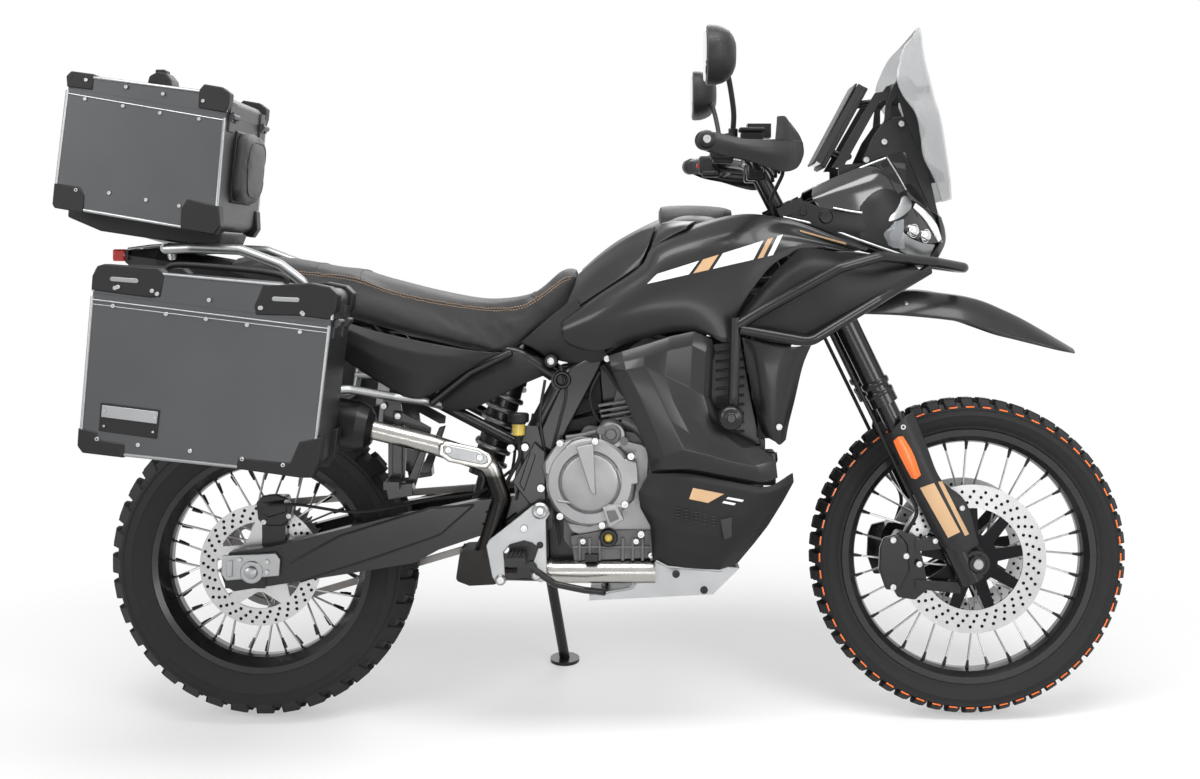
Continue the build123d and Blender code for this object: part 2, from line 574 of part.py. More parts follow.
cover_view = [(576, 813), (650, 868), (816, 974), (943, 1071), (1039, 1082), (W - 416, 1076), (W - 377, 1064),
              (W - 272, 1031), (W - 153, 995), (W - 153, 985), (W - 268, 984), (1024, 834), (1003, 821), (898, 844),
              (774, 808), (711, 783), (648, 794)]
cover_bosses = both([rod((x, -150, z), (x, -(y - 4), z), 9) for x, y, z in ((850, 199, 890), (960, 215, 905))])
nodes["tank_covers"] = join(flank_shell(0, 8, cover_view), cover_bosses)

wing = prism([(x, -(246 - 0.17 * (x - 1024)), z) for x, z in ((1024, 834), (W - 268, 984), (W - 150, 972), (W - 346, 824))],
             (0, 9, 0))
low_shroud = slab([(1033, 822), (W - 463, 631), (W - 418, 600), (W - 382, 702), (W - 357, 760), (W - 328, 816)], -188, -204)
shroud_link = slab([(1036, 822), (W - 348, 822), (W - 348, 836), (1036, 836)], -190, -222)
nodes["shrouds"] = both(join(wing, low_shroud, shroud_link))

low_view = [(749, 789), (774, 801), (856, 822), (932, 842), (967, 820), (949, 696), (984, 649), (1021, 629),
            (W - 458, 598), (W - 429, 577), (W - 425, 540), (W - 448, 526), (897, 559), (836, 548), (815, 649), (758, 766)]
low_stays = [rod((900, -128, z), (900, -228, z), 8) for z in (650, 760)]
nodes["low_fairings"] = both(join(slab(low_view, -226, -240), low_stays))

guard_low = [(836, 546), (826, 534), (817, 492), (836, 461), (871, 420), (846, 368), (863, 354), (985, 348),
             (1022, 364), (W - 467, 410), (W - 425, 482), (W - 394, 534), (W - 396, 550), (W - 446, 521), (897, 556)]
guard_stays = [rod((925, -150, z), (925, -208, z), 8) for z in (384, 538)]
nodes["engine_guards"] = both(join(slab(guard_low, -206, -220), guard_stays))

skid_view = [(709, 275), (709, 286), (790, 300), (847, 360), (1024, 343), (968, 288)]
skid_in = [(700, 280), (700, 400), (W - 440, 400), (1017, 343), (965, 293)]
skid_feet = [rod((x, y, 281), (x, y, 357), 8) for x, y in ((740, 60), (890, 60), (740, -35), (890, -20))]
nodes["skid_plate"] = join(cut(slab(skid_view, -170, 170), slab(skid_in, -165, 165)), skid_feet)

# ---------------------------------------------------------------- crash bars
upper_hoop = [(W - 522, -262, 850), (W - 470, -262, 882), (W - 307, -258, 972), (W - 220, -232, 996), (W - 90, -125, 984),
              (W - 12, -42, 972)]
lower_hoop = [(W - 510, -262, 846), (W - 368, -260, 821), (W - 222, -215, 906), (W - 106, -142, 968)]
leg = [(W - 520, -262, 870), (W - 524, -262, 701), (W - 527, -222, 650)]
bars = []
full_hoop = upper_hoop + [(x, -y, z) for x, y, z in reversed(upper_hoop)]
bars += tube(full_hoop, CRASH_R, 26)
for side in (-1, 1):
    bars += tube([(x, -side * y, z) for x, y, z in lower_hoop], CRASH_R, 40)
    bars += tube([(x, -side * y, z) for x, y, z in leg], CRASH_R, 25)
    bars += [rod((W - 527, side * 216, 660), (950, side * 120, 655), 12)]
nodes["crash_bars"] = join(bars)

# ---------------------------------------------------------------- nose, lamp, screen, instruments
nose_rows = [(W - 254, 1186, 92, 1120, 152, 1032, 150), (W - 196, 1208, 92, 1122, 150, 1008, 132),
             (W - 138, 1229, 84, 1112, 134, 990, 108), (W - 90, 1176, 66, 1090, 102, 990, 76),
             (W - 52, 1110, 40, 1060, 56, 1012, 40)]
nose = ribbed(nose_rows)
lamp_view = [(W - 223, 1036), (W - 154, 1120), (W - 40, 1084), (W - 40, 1000), (W - 93, 980)]
nodes["headlight"] = common(nose, slab(lamp_view, -200, 200))
cowl_core = cut(nose, slab(lamp_view, -200, 200))
cowl_void = ribbed([(W - 260, 1176, 84, 1118, 144, 1020, 142), (W - 196, 1196, 84, 1116, 142, 990, 124),
                    (W - 146, 1212, 76, 1108, 126, 960, 100)])
cheek = slab([(W - 377, 1064), (W - 349, 1137), (W - 311, 1169), (W - 252, 1188), (W - 252, 1032), (W - 272, 1031)], -150, -156)
lamp_keep = slab([(W - 230, 1030), (W - 154, 1130), (W - 30, 1095), (W - 30, 900), (W - 230, 900)], -200, 200)
cowl_hollow = cut(cowl_void, lamp_keep)
nodes["nose_cowl"] = join(cut(cowl_core, cowl_hollow), both(cheek))

# windscreen: middle x, z, then edge x, z, y
screen_rows = [(W - 37, 1120, 1462, 1110, 88), (W - 42, 1164, 1442, 1172, 128), (W - 50, 1230, 1404, 1232, 168),
               (W - 61, 1296, 1410, 1290, 172), (W - 79, 1361, 1400, 1346, 166), (W - 94, 1427, 1384, 1400, 148),
               (W - 104, 1484, 1386, 1446, 92), (W - 105, 1498, 1406, 1482, 46)]
SCREEN_T = 4.0
screen_sections = []
for xm, zm, xe, ze, ye in screen_rows:
    half = [(xe, ye, ze), (xm + 0.42 * (xe - xm), 0.72 * ye, zm + 0.42 * (ze - zm)),
            (xm + 0.08 * (xe - xm), 0.36 * ye, zm + 0.08 * (ze - zm))]
    front_side = half + [(x, -y, z) for x, y, z in reversed(half)]
    slope = math.atan2(ze - zm, xe - xm)
    back_side = [(x + SCREEN_T * math.cos(slope), y, z + SCREEN_T * math.sin(slope))
                 for x, y, z in reversed(front_side)]
    screen_sections.append(front_side + back_side)
nodes["windscreen"] = [skin(screen_sections)]

display_plane = Plane(origin=(W - 285, 0, 1281), x_dir=(0, 1, 0), z_dir=Vector(-176, 0, 99).normalized())
nodes["display"] = flat(display_plane * Box(150, 190, 15))
bracket = [slab([(W - 304, 1186), (W - 280, 1186), (W - 200, 1330), (W - 93, 1347), (W - 97, 1363), (W - 212, 1346)], s * 84, s * 90)
           for s in (-1, 1)]
bracket += [slab([(W - 290, 1150), (W - 110, 1150), (W - 62, 1157), (W - 64, 1174), (W - 110, 1205), (W - 290, 1192)], s * 84, s * 90)
            for s in (-1, 1)]
bracket += [rod((W - 268, -88, 1210), (W - 268, 88, 1210), 7), rod((W - 200, -88, 1334), (W - 200, 88, 1334), 6)]
bracket += [rod(on_fork(750, 26, 0), (W - 230, 0, 1092), 13), rod((W - 230, -70, 1092), (W - 230, 70, 1092), 10)]
bracket += [rod((W - 310, y, 1230), (W - 268, y, 1210), 5) for y in (-45, 45)]
bracket += [rod((W - 254, y, 1326), (W - 200, y, 1334), 5) for y in (-45, 45)]
bracket += [rod((W - 230, s * 66, 1092), (W - 230, s * 87, 1160), 9) for s in (-1, 1)]
nodes["instrument_bracket"] = join(bracket)

# ---------------------------------------------------------------- seat, tail, racks
seat_rows = [(-60, 990, 60, 975, 100, 950, 105), (49, 985, 80, 968, 125, 925, 130),
             (159, 965, 85, 955, 138, 880, 148), (220, 960, 85, 945, 138, 866, 150),
             (290, 936, 90, 922, 132, 844, 150), (378, 914, 92, 905, 130, 820, 150),
             (466, 897, 92, 888, 130, 800, 148), (525, 897, 90, 886, 125, 794, 138),
             (575, 906, 84, 892, 116, 824, 124), (608, 923, 74, 914, 104, 844, 108),
             (652, 963, 60, 946, 90, 870, 94), (680, 966, 45, 952, 76, 886, 80)]
nodes["seat"] = [ribbed(seat_rows)]
panel_view = [(193, 854), (270, 846), (396, 814), (509, 789), (375, 695), (165, 789)]
panel_stays = [rod((x, -118, z), (x, -156, z), 8) for x, z in ((420, 795), (240, 820))]
nodes["side_panels"] = both(join(slab(panel_view, -152, -164), panel_stays))
tail_rows = [(-300, 1012, 20, 1000, 46, 984, 40), (-220, 1014, 60, 990, 92, 925, 60),
             (-60, 985, 80, 960, 110, 880, 100), (60, 960, 90, 930, 122, 868, 110),
             (190, 930, 90, 890, 130, 850, 120)]
tail_lamp = block(-322, -290, -52, 52, 988, 1010)
nodes["tail_unit"] = join(ribbed(tail_rows), tail_lamp)

grab_rail = [(-190, -128, 1012), (-134, -140, 1014), (-29, -140, 1010), (56, -140, 978), (110, -136, 936),
             (120, -112, 880)]
rack_view = [(-405, 1084), (-405, 1104.3), (-74, 1048.8), (-74, 1036), (-180, 1018)]
rack_plate = slab(rack_view, -95, 95)
rack_cross = rod((-190, -128, 1014), (-190, 128, 1014), 11)
nodes["rear_rack"] = join(both(tube(grab_rail, 11, 30)), rack_plate, rack_cross,
                          both(rod((-190, -80, 1014), (-180, -80, 930), 10)))

hoop = [(-180, 900), (180, 868), (150, 668), (-205, 712)]
racks = []
hoop_y = CASE_IN - 9.3
hoop_path = FilletPolyline(*[Vector(x, -hoop_y, z) for x, z in hoop], radius=30, close=True)
hoop_start = Plane(origin=hoop_path @ 0, z_dir=hoop_path % 0)
racks += flat(sweep(hoop_start * Circle(9), path=hoop_path))
racks += [rod((130, -hoop_y, 872), (130, -116, 872), 9), rod((-150, -hoop_y, 897), (-150, -102, 910), 9)]
racks += tube([(155, -hoop_y, 722), (215, -232, 722), (300, -172, 702), (360, -152, 692), (402, -118, 678)], 9, 25)
nodes["pannier_racks"] = both(join(racks))

# ---------------------------------------------------------------- cases
def seam_half(p, q, above):
    """Half space as a thick slab above or below the seam line through p and q."""
    far = 900 if above else -900
    run = Vector(q[0] - p[0], 0, q[1] - p[1]).normalized()
    shift = SEAM / 2 if above else -SEAM / 2
    a = (p[0] - 600 * run.X, p[1] - 600 * run.Z + shift)
    b = (q[0] + 600 * run.X, q[1] + 600 * run.Z + shift)
    return slab([a, b, (b[0], b[1] + far), (a[0], a[1] + far)], -700, 700)


def inset(outline, d):
    """Convex outline moved inwards by d."""
    count = len(outline)
    lines = []
    for k in range(count):
        (x0, z0), (x1, z1) = outline[k], outline[(k + 1) % count]
        length = math.hypot(x1 - x0, z1 - z0)
        nx, nz = -(z1 - z0) / length, (x1 - x0) / length
        lines.append((nx, nz, nx * x0 + nz * z0 + d))
    points = []
    for k in range(count):
        a, b = lines[k - 1], lines[k]
        det = a[0] * b[1] - a[1] * b[0]
        points.append(((a[2] * b[1] - a[1] * b[2]) / det, (a[0] * b[2] - a[2] * b[0]) / det))
    return points


side_view = [(-255, 625), (188, 577), (232, 930), (-226, 972)]
side_seam = ((-230, 924.5), (223, 867.3))
top_view = [(-402, 1103), (-68, 1047), (-41, 1331), (-369, 1373)]
top_seam = ((-371, 1346), (-47, 1290))


def case_pair(view, seam, y_from, y_to, corner):
    outer = round_slab(view, corner, y_from, y_to)
    step = CASE_WALL if y_to > y_from else -CASE_WALL
    inner = round_slab(inset(view, CASE_WALL), corner - CASE_WALL, y_from + step, y_to - step)
    shell = cut(outer, inner)
    base = common(shell, seam_half(*seam, False))
    lid = common(shell, seam_half(*seam, True))
    return base, lid


def hinge_place(view, seam):
    """Pin place x, z on the seam's line, HINGE_OUT ahead of the case front, and the front's slope."""
    (x0, z0), (x1, z1) = view[1], view[2]
    slope = (seam[1][1] - seam[0][1]) / (seam[1][0] - seam[0][0])
    back = (x1 - x0) / (z1 - z0)
    face_x = (x0 + back * (seam[1][1] - slope * seam[1][0] - z0)) / (1 - back * slope)
    x = face_x + HINGE_OUT
    return x, seam[1][1] + slope * (x - seam[1][0]), back


def hinged(base, lid, place, middles):
    """Adds a leaf and knuckles to each half: two on the case with the pin, one on the lid."""
    x, z, back = place
    half, third = HINGE_LONG / 2, HINGE_LONG / 6
    low, high = HINGE_R + 1, HINGE_R + 24

    def leaf(y_from, y_to, z_from, z_to, thick):
        foot, top = x - HINGE_OUT - 1 + back * z_from, x - HINGE_OUT - 1 + back * z_to
        return slab([(foot, z + z_from), (foot + thick, z + z_from), (top + thick, z + z_to), (top, z + z_to)],
                    y_from, y_to)

    for y in middles:
        knuckles = [rod((x, y - half, z), (x, y + half, z), HINGE_PIN_R), leaf(y - half, y + half, -high, -low, 5)]
        for a, b in ((y - half, y - third - SEAM), (y + third + SEAM, y + half)):
            knuckles.append(rod((x, a, z), (x, b, z), HINGE_R))
            knuckles.append(block(x - HINGE_OUT + 0.6, x, a, b, z - low - 3, z))
        eye = join(rod((x, y - third, z), (x, y + third, z), HINGE_R),
                   block(x - HINGE_OUT + 0.6, x, y - third, y + third, z, z + low + 3))
        room = rod((x, y - half, z), (x, y + half, z), HINGE_PIN_R + FIT)
        base = join(base, knuckles)
        lid = join(lid, leaf(y - half, y + half, low, high, 5), cut(eye, room))
    return base, lid


side_hinge, top_hinge = hinge_place(side_view, side_seam), hinge_place(top_view, top_seam)
right_base, right_top = case_pair(side_view, side_seam, -CASE_IN, -CASE_OUT, 22)
right_base, right_top = hinged(right_base, right_top, side_hinge, (-CASE_IN - 60, -CASE_OUT + 60))
nodes["right_case"] = right_base
nodes["right_lid"] = right_top
nodes["left_case"] = flip(right_base)
nodes["left_lid"] = flip(right_top)
top_base, top_top = case_pair(top_view, top_seam, -TOP_HALF, TOP_HALF, 20)
top_base, top_top = hinged(top_base, top_top, top_hinge, (-TOP_HALF + 50, TOP_HALF - 50))
nodes["top_case"] = top_base
nodes["top_lid"] = top_top

pad_view = [(-49, 1266), (-25, 1262), (-10, 1243), (-32, 1117), (-60, 1108)]
nodes["backrest_pad"] = cut(slab(pad_view, -105, 105), nodes["top_case"])

# ---------------------------------------------------------------- swingarm, shock, rear brake
arm_view = [(-70, R), (-58, R - 33), (-40, R - 43), (54, R - 29), (206, R - 5), (340, 350), (392, 378), (476, 406),
            (590, 420), (640, 445), (640, 480), (590, 497), (466, 480), (370, 460), (277, 444), (162, R + 82),
            (41, R + 51), (-50, R + 39)]
arm_window = [(482, 434), (538, 433), (508, 402)]
arms = []
for side in (-1, 1):
    arm = slab(arm_view, side * ARM_IN, side * ARM_OUT)
    arms.append(cut(arm, slab(arm_window, side * (ARM_OUT - 14), side * (ARM_OUT + 1))))
    arms.append(block(-58, 27, side * ARM_OUT, side * (ARM_OUT + 5), R - 36, R + 24))
brace = slab([(392, 382), (476, 408), (476, 460), (392, 444)], -ARM_IN, ARM_IN)
pivot_tube = rod((PIVOT[0], -ARM_IN, PIVOT[1]), (PIVOT[0], ARM_IN, PIVOT[1]), 20)
rear_shaft = rod((0, -ARM_OUT - 8, REAR_R), (0, ARM_OUT + 8, REAR_R), AXLE_R)
spacers = [rod((0, -ARM_IN - 1, REAR_R), (0, -70.5, REAR_R), 17), rod((0, ARM_IN + 1, REAR_R), (0, 86.5, REAR_R), 17)]
arm_solid = join(arms, brace, pivot_tube, rear_shaft, spacers)
nodes["swingarm"] = cut(arm_solid, rod((0, -200, REAR_R), (0, 200, REAR_R), 8), nodes["main_frame"])

shock_top, shock_low = Vector(548, 0, 792), Vector(455, 0, 430)
spring_axis = (shock_top - shock_low).normalized()
shock_body = rod(shock_low, shock_top, 16)
spring_cup = rod(shock_low + spring_axis * 90, shock_low + spring_axis * 102, 38)
spring_cap = rod(shock_low + spring_axis * 300, shock_low + spring_axis * 312, 38)
spring = rod(shock_low + spring_axis * 102, shock_low + spring_axis * 300, 33)
nodes["shock"] = cut(join(shock_body, spring_cup, spring_cap, spring), nodes["swingarm"], nodes["subframe"])

rear_disc_room = ring(rear_axle, REAR_DISC_R + 4, 0, -REAR_DISC_Y - 5, -REAR_DISC_Y + 5)
rear_caliper = round_slab([(4, R + 91), (66, R + 87), (62, R + 151), (10, R + 151)], 8, -56, -98)
caliper_arm = slab([(10, R + 47), (60, R + 47), (60, R + 107), (10, R + 107)], -84, -ARM_IN)
nodes["rear_caliper"] = cut(join(rear_caliper, caliper_arm), rear_disc_room)

# ---------------------------------------------------------------- pegs and foot controls
peg_view = [(607, 465), (503, 405), (497, 388), (524, 324), (599, 332)]
peg_window = [(560, 339), (525, 339), (515, 378), (536, 398), (544, 391), (542, 372), (547, 358), (562, 352)]
peg_plate = cut(round_slab(peg_view, 6, -198, -208), slab(peg_window, -190, -215))
peg_bosses = [rod((590, -160, 440), (590, -200, 440), 11), rod((575, -158, 418), (575, -200, 418), 9)]
peg = join(rod((561, -206, 374), (561, -218, 374), 14), block(541, 581, -216, -290, 366, 384))
hanger = round_slab([(272, 690), (310, 690), (322, 600), (318, 510), (284, 510), (284, 600)], 8, -131, -141)
hanger_tie = slab([(272, 690), (310, 690), (348, 735), (322, 765)], -118, -141)
rear_peg = block(286, 318, -141, -228, 514, 530)
nodes["peg_brackets"] = both(join(peg_plate, peg_bosses, peg)) + both(join(hanger, hanger_tie, rear_peg))
nodes["peg_brackets"] = cut(nodes["peg_brackets"], nodes["subframe"], nodes["main_frame"])

pedal = join(tube([(590, -217, 352), (640, -218, 318), (700, -219, 306), (742, -244, 306)], 7, 14),
             rod((590, -208, 352), (590, -220, 352), 13))
gear_lever = join(tube([(690, 210, 400), (742, 212, 388), (742, 262, 388)], 6, 12), rod((690, 164, 400), (690, 216, 400), 9))
nodes["foot_controls"] = flat(pedal, gear_lever)

# ---------------------------------------------------------------- side stand
STAND_SWING = math.degrees(math.acos(stand_run.normalized().dot(STAND_FOLDED.normalized())))
foot_point = Vector(STAND_FOOT.X, STAND_FOOT.Y, ground_z(STAND_FOOT.Y))
ground_up = Vector(0, -math.sin(lean), math.cos(lean))
stand_leg = rod(STAND_PIVOT + stand_run * 0.02, STAND_FOOT, 12)
stand_foot = Solid.make_cylinder(34, 8, Plane(origin=foot_point, z_dir=ground_up))
stand_eye = rod(STAND_PIVOT - stand_axis * 9, STAND_PIVOT + stand_axis * 9, 17)
pin_room = rod(STAND_PIVOT - stand_axis * 40, STAND_PIVOT + stand_axis * 40, STAND_PIN_R + FIT)
nodes["side_stand"] = cut(join(stand_leg, stand_foot, stand_eye), pin_room)

# ---------------------------------------------------------------- trim each piece to its neighbours
cut_by = {
    "fuel_tank": ["main_frame"],
    "engine": ["main_frame", "swingarm"],
    "seat": ["fuel_tank", "subframe"],
    "tail_unit": ["seat", "subframe"],
    "tank_covers": ["fuel_tank", "seat"],
    "subframe": ["main_frame"],
    "rear_rack": ["top_case", "tail_unit", "seat", "subframe"],
    "pannier_racks": ["subframe", "tail_unit", "seat", "side_panels", "rear_rack"],
    "crash_bars": ["engine"],
    "exhaust_pipe": ["engine", "muffler"],
    "radiator": ["main_frame"],
    "instrument_bracket": ["main_frame", "nose_cowl", "headlight", "windscreen", "display"],
    "engine_covers": ["main_frame"],
    "brake_hoses": ["front_calipers", "handlebar", "handguards"],
}
for name, blades in cut_by.items():
    nodes[name] = cut(nodes[name], [nodes[b] for b in blades])

# ---------------------------------------------------------------- place and export
lean_turn = Location((0, 0, LIFT)) * Rotation(-LEAN, 0, 0)
placed = {name: [s.moved(lean_turn) for s in flat(parts)] for name, parts in nodes.items()}
box = Compound([s for parts in placed.values() for s in parts]).bounding_box()
shift = Location((-(box.min.X + box.max.X) / 2, -(box.min.Y + box.max.Y) / 2, 0))
os.makedirs("parts", exist_ok=True)
for name, parts in placed.items():
    moved = [s.moved(shift) for s in parts]
    export_step(Compound(label=name, children=moved), "parts/" + name + ".step")


def to_part(point):
    """Point of the upright frame in the placed frame, metres."""
    at = (shift * lean_turn * Location(point)).position
    return [round(v / 1000, 6) for v in (at.X, at.Y, at.Z)]


def to_axis(axis):
    turned = (Rotation(-LEAN, 0, 0) * Location(axis)).position
    return [round(v, 7) for v in (turned.X, turned.Y, turned.Z)]


marks = {
    "steer": (on_fork(745, 0, 0), up_axis),
    "front_wheel": (front_axle, Vector(0, 1, 0)),
    "rear_wheel": (rear_axle, Vector(0, 1, 0)),
    "right_lid": (Vector(side_hinge[0], -(CASE_IN + CASE_OUT) / 2, side_hinge[1]), Vector(0, 1, 0)),
    "left_lid": (Vector(side_hinge[0], (CASE_IN + CASE_OUT) / 2, side_hinge[1]), Vector(0, 1, 0)),
    "top_lid": (Vector(top_hinge[0], 0, top_hinge[1]), Vector(0, 1, 0)),
    "side_stand": (STAND_PIVOT, stand_axis),
    "bore_front_axle": (front_axle, Vector(0, -1, 0)),
    "bore_rear_axle": (rear_axle, Vector(0, -1, 0)),
}
for name, (point, axis) in marks.items():
    print("MARK", name, to_part(point), to_axis(axis))
print("STAND_SWING", round(STAND_SWING, 2), "box", box.size, "low", round(box.min.Z, 3))
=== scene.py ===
import json
import math
from functools import partialmethod
import bmesh
import bpy
import numpy as np
from mathutils import Matrix, Vector


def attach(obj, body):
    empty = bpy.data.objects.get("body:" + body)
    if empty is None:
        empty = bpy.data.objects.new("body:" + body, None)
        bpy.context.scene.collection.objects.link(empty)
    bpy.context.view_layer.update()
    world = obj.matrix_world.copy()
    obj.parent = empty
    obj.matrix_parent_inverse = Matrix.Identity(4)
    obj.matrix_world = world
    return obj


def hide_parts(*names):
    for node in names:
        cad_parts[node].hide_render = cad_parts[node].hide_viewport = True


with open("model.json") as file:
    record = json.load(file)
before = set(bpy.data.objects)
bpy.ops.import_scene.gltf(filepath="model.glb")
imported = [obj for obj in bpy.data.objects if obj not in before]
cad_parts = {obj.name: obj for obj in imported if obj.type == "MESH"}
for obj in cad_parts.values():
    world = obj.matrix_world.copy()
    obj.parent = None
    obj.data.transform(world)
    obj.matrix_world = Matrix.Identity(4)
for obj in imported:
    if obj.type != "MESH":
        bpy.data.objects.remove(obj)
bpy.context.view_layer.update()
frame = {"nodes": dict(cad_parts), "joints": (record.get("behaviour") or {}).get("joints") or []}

nodes = frame["nodes"]
print("frame loaded:", len(nodes), "nodes")

# Sizes are millimetres on the upright bike: X forward from the rear axle, Y to the rider's left,
# Z up from the ground. The bike leans on its stand, and toWorld turns millimetres into the
# placed frame in metres.
bike = {"leanDeg": 10.0, "rearAxle": (0.0, 0.0, 333.0), "frontAxle": (1530.0, 0.0, 345.0),
        "rakeDeg": 26.0, "steerFoot": (1476.07, 0.0, 318.7)}
leanSin, leanCos = math.sin(math.radians(bike["leanDeg"])), math.cos(math.radians(bike["leanDeg"]))
rearMark = [j for j in frame["joints"] if j["name"] == "rear_wheel_spin"][0]["pos_m"]
shiftX, shiftY, liftZ = rearMark[0], rearMark[1] - 0.333 * leanSin, rearMark[2] - 0.333 * leanCos


def toWorld(points):
    # turn about X by the lean, then shift: y' = y cos + z sin, z' = z cos - y sin
    p = np.asarray(points, float) / 1000.0
    out = np.empty_like(p)
    out[..., 0] = p[..., 0] + shiftX
    out[..., 1] = p[..., 1] * leanCos + p[..., 2] * leanSin + shiftY
    out[..., 2] = p[..., 2] * leanCos - p[..., 1] * leanSin + liftZ
    return out


# the side drawing: its middle (h, v), where that lies in mm, mm to a unit at the middle plane, and the
# distance of the eye from that plane
drawing = {"midH": 635.0, "midV": 265.0, "midX": 805.0, "midZ": 978.0, "unit": 2.19, "eye": 3900.0}


def unitAt(y):
    # mm to a drawing unit at depth y, growing in step with the distance from the eye
    return drawing["unit"] * (1 + y / drawing["eye"])


def drawn(h, v, y):
    # drawing units (h to the front, v down) at depth y to mm: x = midX + (h - midH) k,
    # z = midZ - (v - midV) k
    k = unitAt(y)
    return drawing["midX"] + (h - drawing["midH"]) * k, y, drawing["midZ"] - (v - drawing["midV"]) * k


def toDrawn(x, y, z):
    # the drawing units of a point in mm: the reverse of drawn
    k = unitAt(y)
    return drawing["midH"] + (x - drawing["midX"]) / k, drawing["midV"] - (z - drawing["midZ"]) / k, y


def drawnLine(points, y):
    return np.array([drawn(h, v, y) for h, v in points])


# the camera stands at the drawing's eye and looks square to the upright bike's side
view = {"at": (drawing["midX"], -drawing["eye"], drawing["midZ"]), "lens": 53.43, "sensor": 36.0,
        "shiftX": -0.0292, "shiftY": -0.1038, "near": 0.05, "far": 60.0}


def makeCamera():
    data = bpy.data.cameras.new("camera")
    data.lens, data.sensor_width = view["lens"], view["sensor"]
    data.shift_x, data.shift_y = view["shiftX"], view["shiftY"]
    data.clip_start, data.clip_end = view["near"], view["far"]
    cam = bpy.data.objects.new("camera", data)
    bpy.context.scene.collection.objects.link(cam)
    ahead = Vector((0, leanCos, -leanSin))
    cam.location = Vector(toWorld(view["at"]))
    cam.rotation_mode = "QUATERNION"
    up = Vector((0, leanSin, leanCos))
    right = ahead.cross(up)
    cam.rotation_quaternion = Matrix((right, up, -ahead)).transposed().to_quaternion()
    bpy.context.scene.camera = cam


makeCamera()


class Value:
    # a shader socket; sums and products of values add Math nodes
    def __init__(self, finish, socket):
        self.finish, self.socket = finish, socket

    def maths(self, operation, other=0.0, swap=False):
        a, b = (other, self) if swap else (self, other)
        return self.finish.node("ShaderNodeMath", {"operation": operation}, {0: a, 1: b})

    __add__ = __radd__ = partialmethod(maths, "ADD")
    __sub__ = partialmethod(maths, "SUBTRACT")
    __rsub__ = partialmethod(maths, "SUBTRACT", swap=True)
    __mul__ = __rmul__ = partialmethod(maths, "MULTIPLY")
    __pow__ = partialmethod(maths, "POWER")
    __gt__ = partialmethod(maths, "GREATER_THAN")
    __lt__ = partialmethod(maths, "LESS_THAN")
    __mod__ = partialmethod(maths, "FLOORED_MODULO")
    atMost = partialmethod(maths, "MINIMUM")
    atLeast = partialmethod(maths, "MAXIMUM")
    root = partialmethod(maths, "SQRT")
    sine = partialmethod(maths, "SINE")


# gloss values that every finish shares
glossTable = {"IOR": 1.5, "Coat Roughness": 0.12, "Specular IOR Level": 0.3}


class Finish:
    # one procedural material on the Principled shader
    def __init__(self, name, colour, rough, metal=0.0, coat=0.0):
        self.material = bpy.data.materials.new(name)
        self.material.use_nodes = True
        self.tree = self.material.node_tree
        self.shader = [n for n in self.tree.nodes if n.type == "BSDF_PRINCIPLED"][0]
        for key, value in (("Base Color", (*colour, 1.0)), ("Roughness", rough), ("Metallic", metal),
                           ("Coat Weight", coat), *glossTable.items()):
            self.shader.inputs[key].default_value = value
        self.material.diffuse_color = (*colour, 1.0)

    def node(self, kind, settings=None, inputs=None, output=0):
        made = self.tree.nodes.new(kind)
        for key, value in (settings or {}).items():
            setattr(made, key, value)
        for key, value in (inputs or {}).items():
            self.feed(made.inputs[key], value)
        return Value(self, made.outputs[output])

    def feed(self, socket, value):
        if isinstance(value, Value):
            self.tree.links.new(value.socket, socket)
        elif isinstance(value, (tuple, list)) and len(value) == 3 and socket.type == "RGBA":
            socket.default_value = (*value, 1.0)
        else:
            socket.default_value = value

    def set(self, **inputs):
        names = {"colour": "Base Color", "rough": "Roughness", "metal": "Metallic", "alpha": "Alpha"}
        for key, value in inputs.items():
            self.feed(self.shader.inputs[names[key]], value)
        return self

    def place(self):
        # upright bike coordinates in metres
        out = self.node("ShaderNodeTexCoord", output=3)
        shift = (-shiftX, -(shiftY * leanCos - liftZ * leanSin), -(shiftY * leanSin + liftZ * leanCos))
        return self.node("ShaderNodeMapping", {}, {0: out, 1: shift,
                         2: (math.radians(bike["leanDeg"]), 0, 0)})

    def split(self, vector):
        parts = self.tree.nodes.new("ShaderNodeSeparateXYZ")
        self.feed(parts.inputs[0], vector)
        return [Value(self, o) for o in parts.outputs]

    def stretched(self, scale):
        return self.node("ShaderNodeMapping", {}, {0: self.place(), 3: scale})

    def noise(self, scale, detail=4.0, vector=None):
        return self.node("ShaderNodeTexNoise", {}, {"Vector": vector or self.place(), "Scale": scale,
                                                    "Detail": detail})

    def cells(self, scale, feature="F1"):
        return self.node("ShaderNodeTexVoronoi", {"feature": feature},
                         {"Vector": self.place(), "Scale": scale})

    def whiteSeen(self):
        # 1 where the camera, a reflection or glass looks at it
        rays = self.tree.nodes.new("ShaderNodeLightPath").outputs
        seen = [Value(self, rays[k]) for k in ("Is Camera Ray", "Is Glossy Ray", "Is Transmission Ray")]
        return seen[0].atLeast(seen[1]).atLeast(seen[2])

    def mix(self, factor, a, b):
        made = self.tree.nodes.new("ShaderNodeMix")
        made.data_type = "RGBA"
        self.feed(made.inputs[0], factor)
        self.feed(made.inputs[6], a)
        self.feed(made.inputs[7], b)
        return Value(self, made.outputs[2])

    def bump(self, height, strength=0.3, distance=0.001):
        out = self.node("ShaderNodeBump", {}, {"Height": height, "Strength": strength, "Distance": distance})
        self.tree.links.new(out.socket, self.shader.inputs["Normal"])
        return self


def tint(colour, k):
    return tuple(min(1.0, c * k) for c in colour)


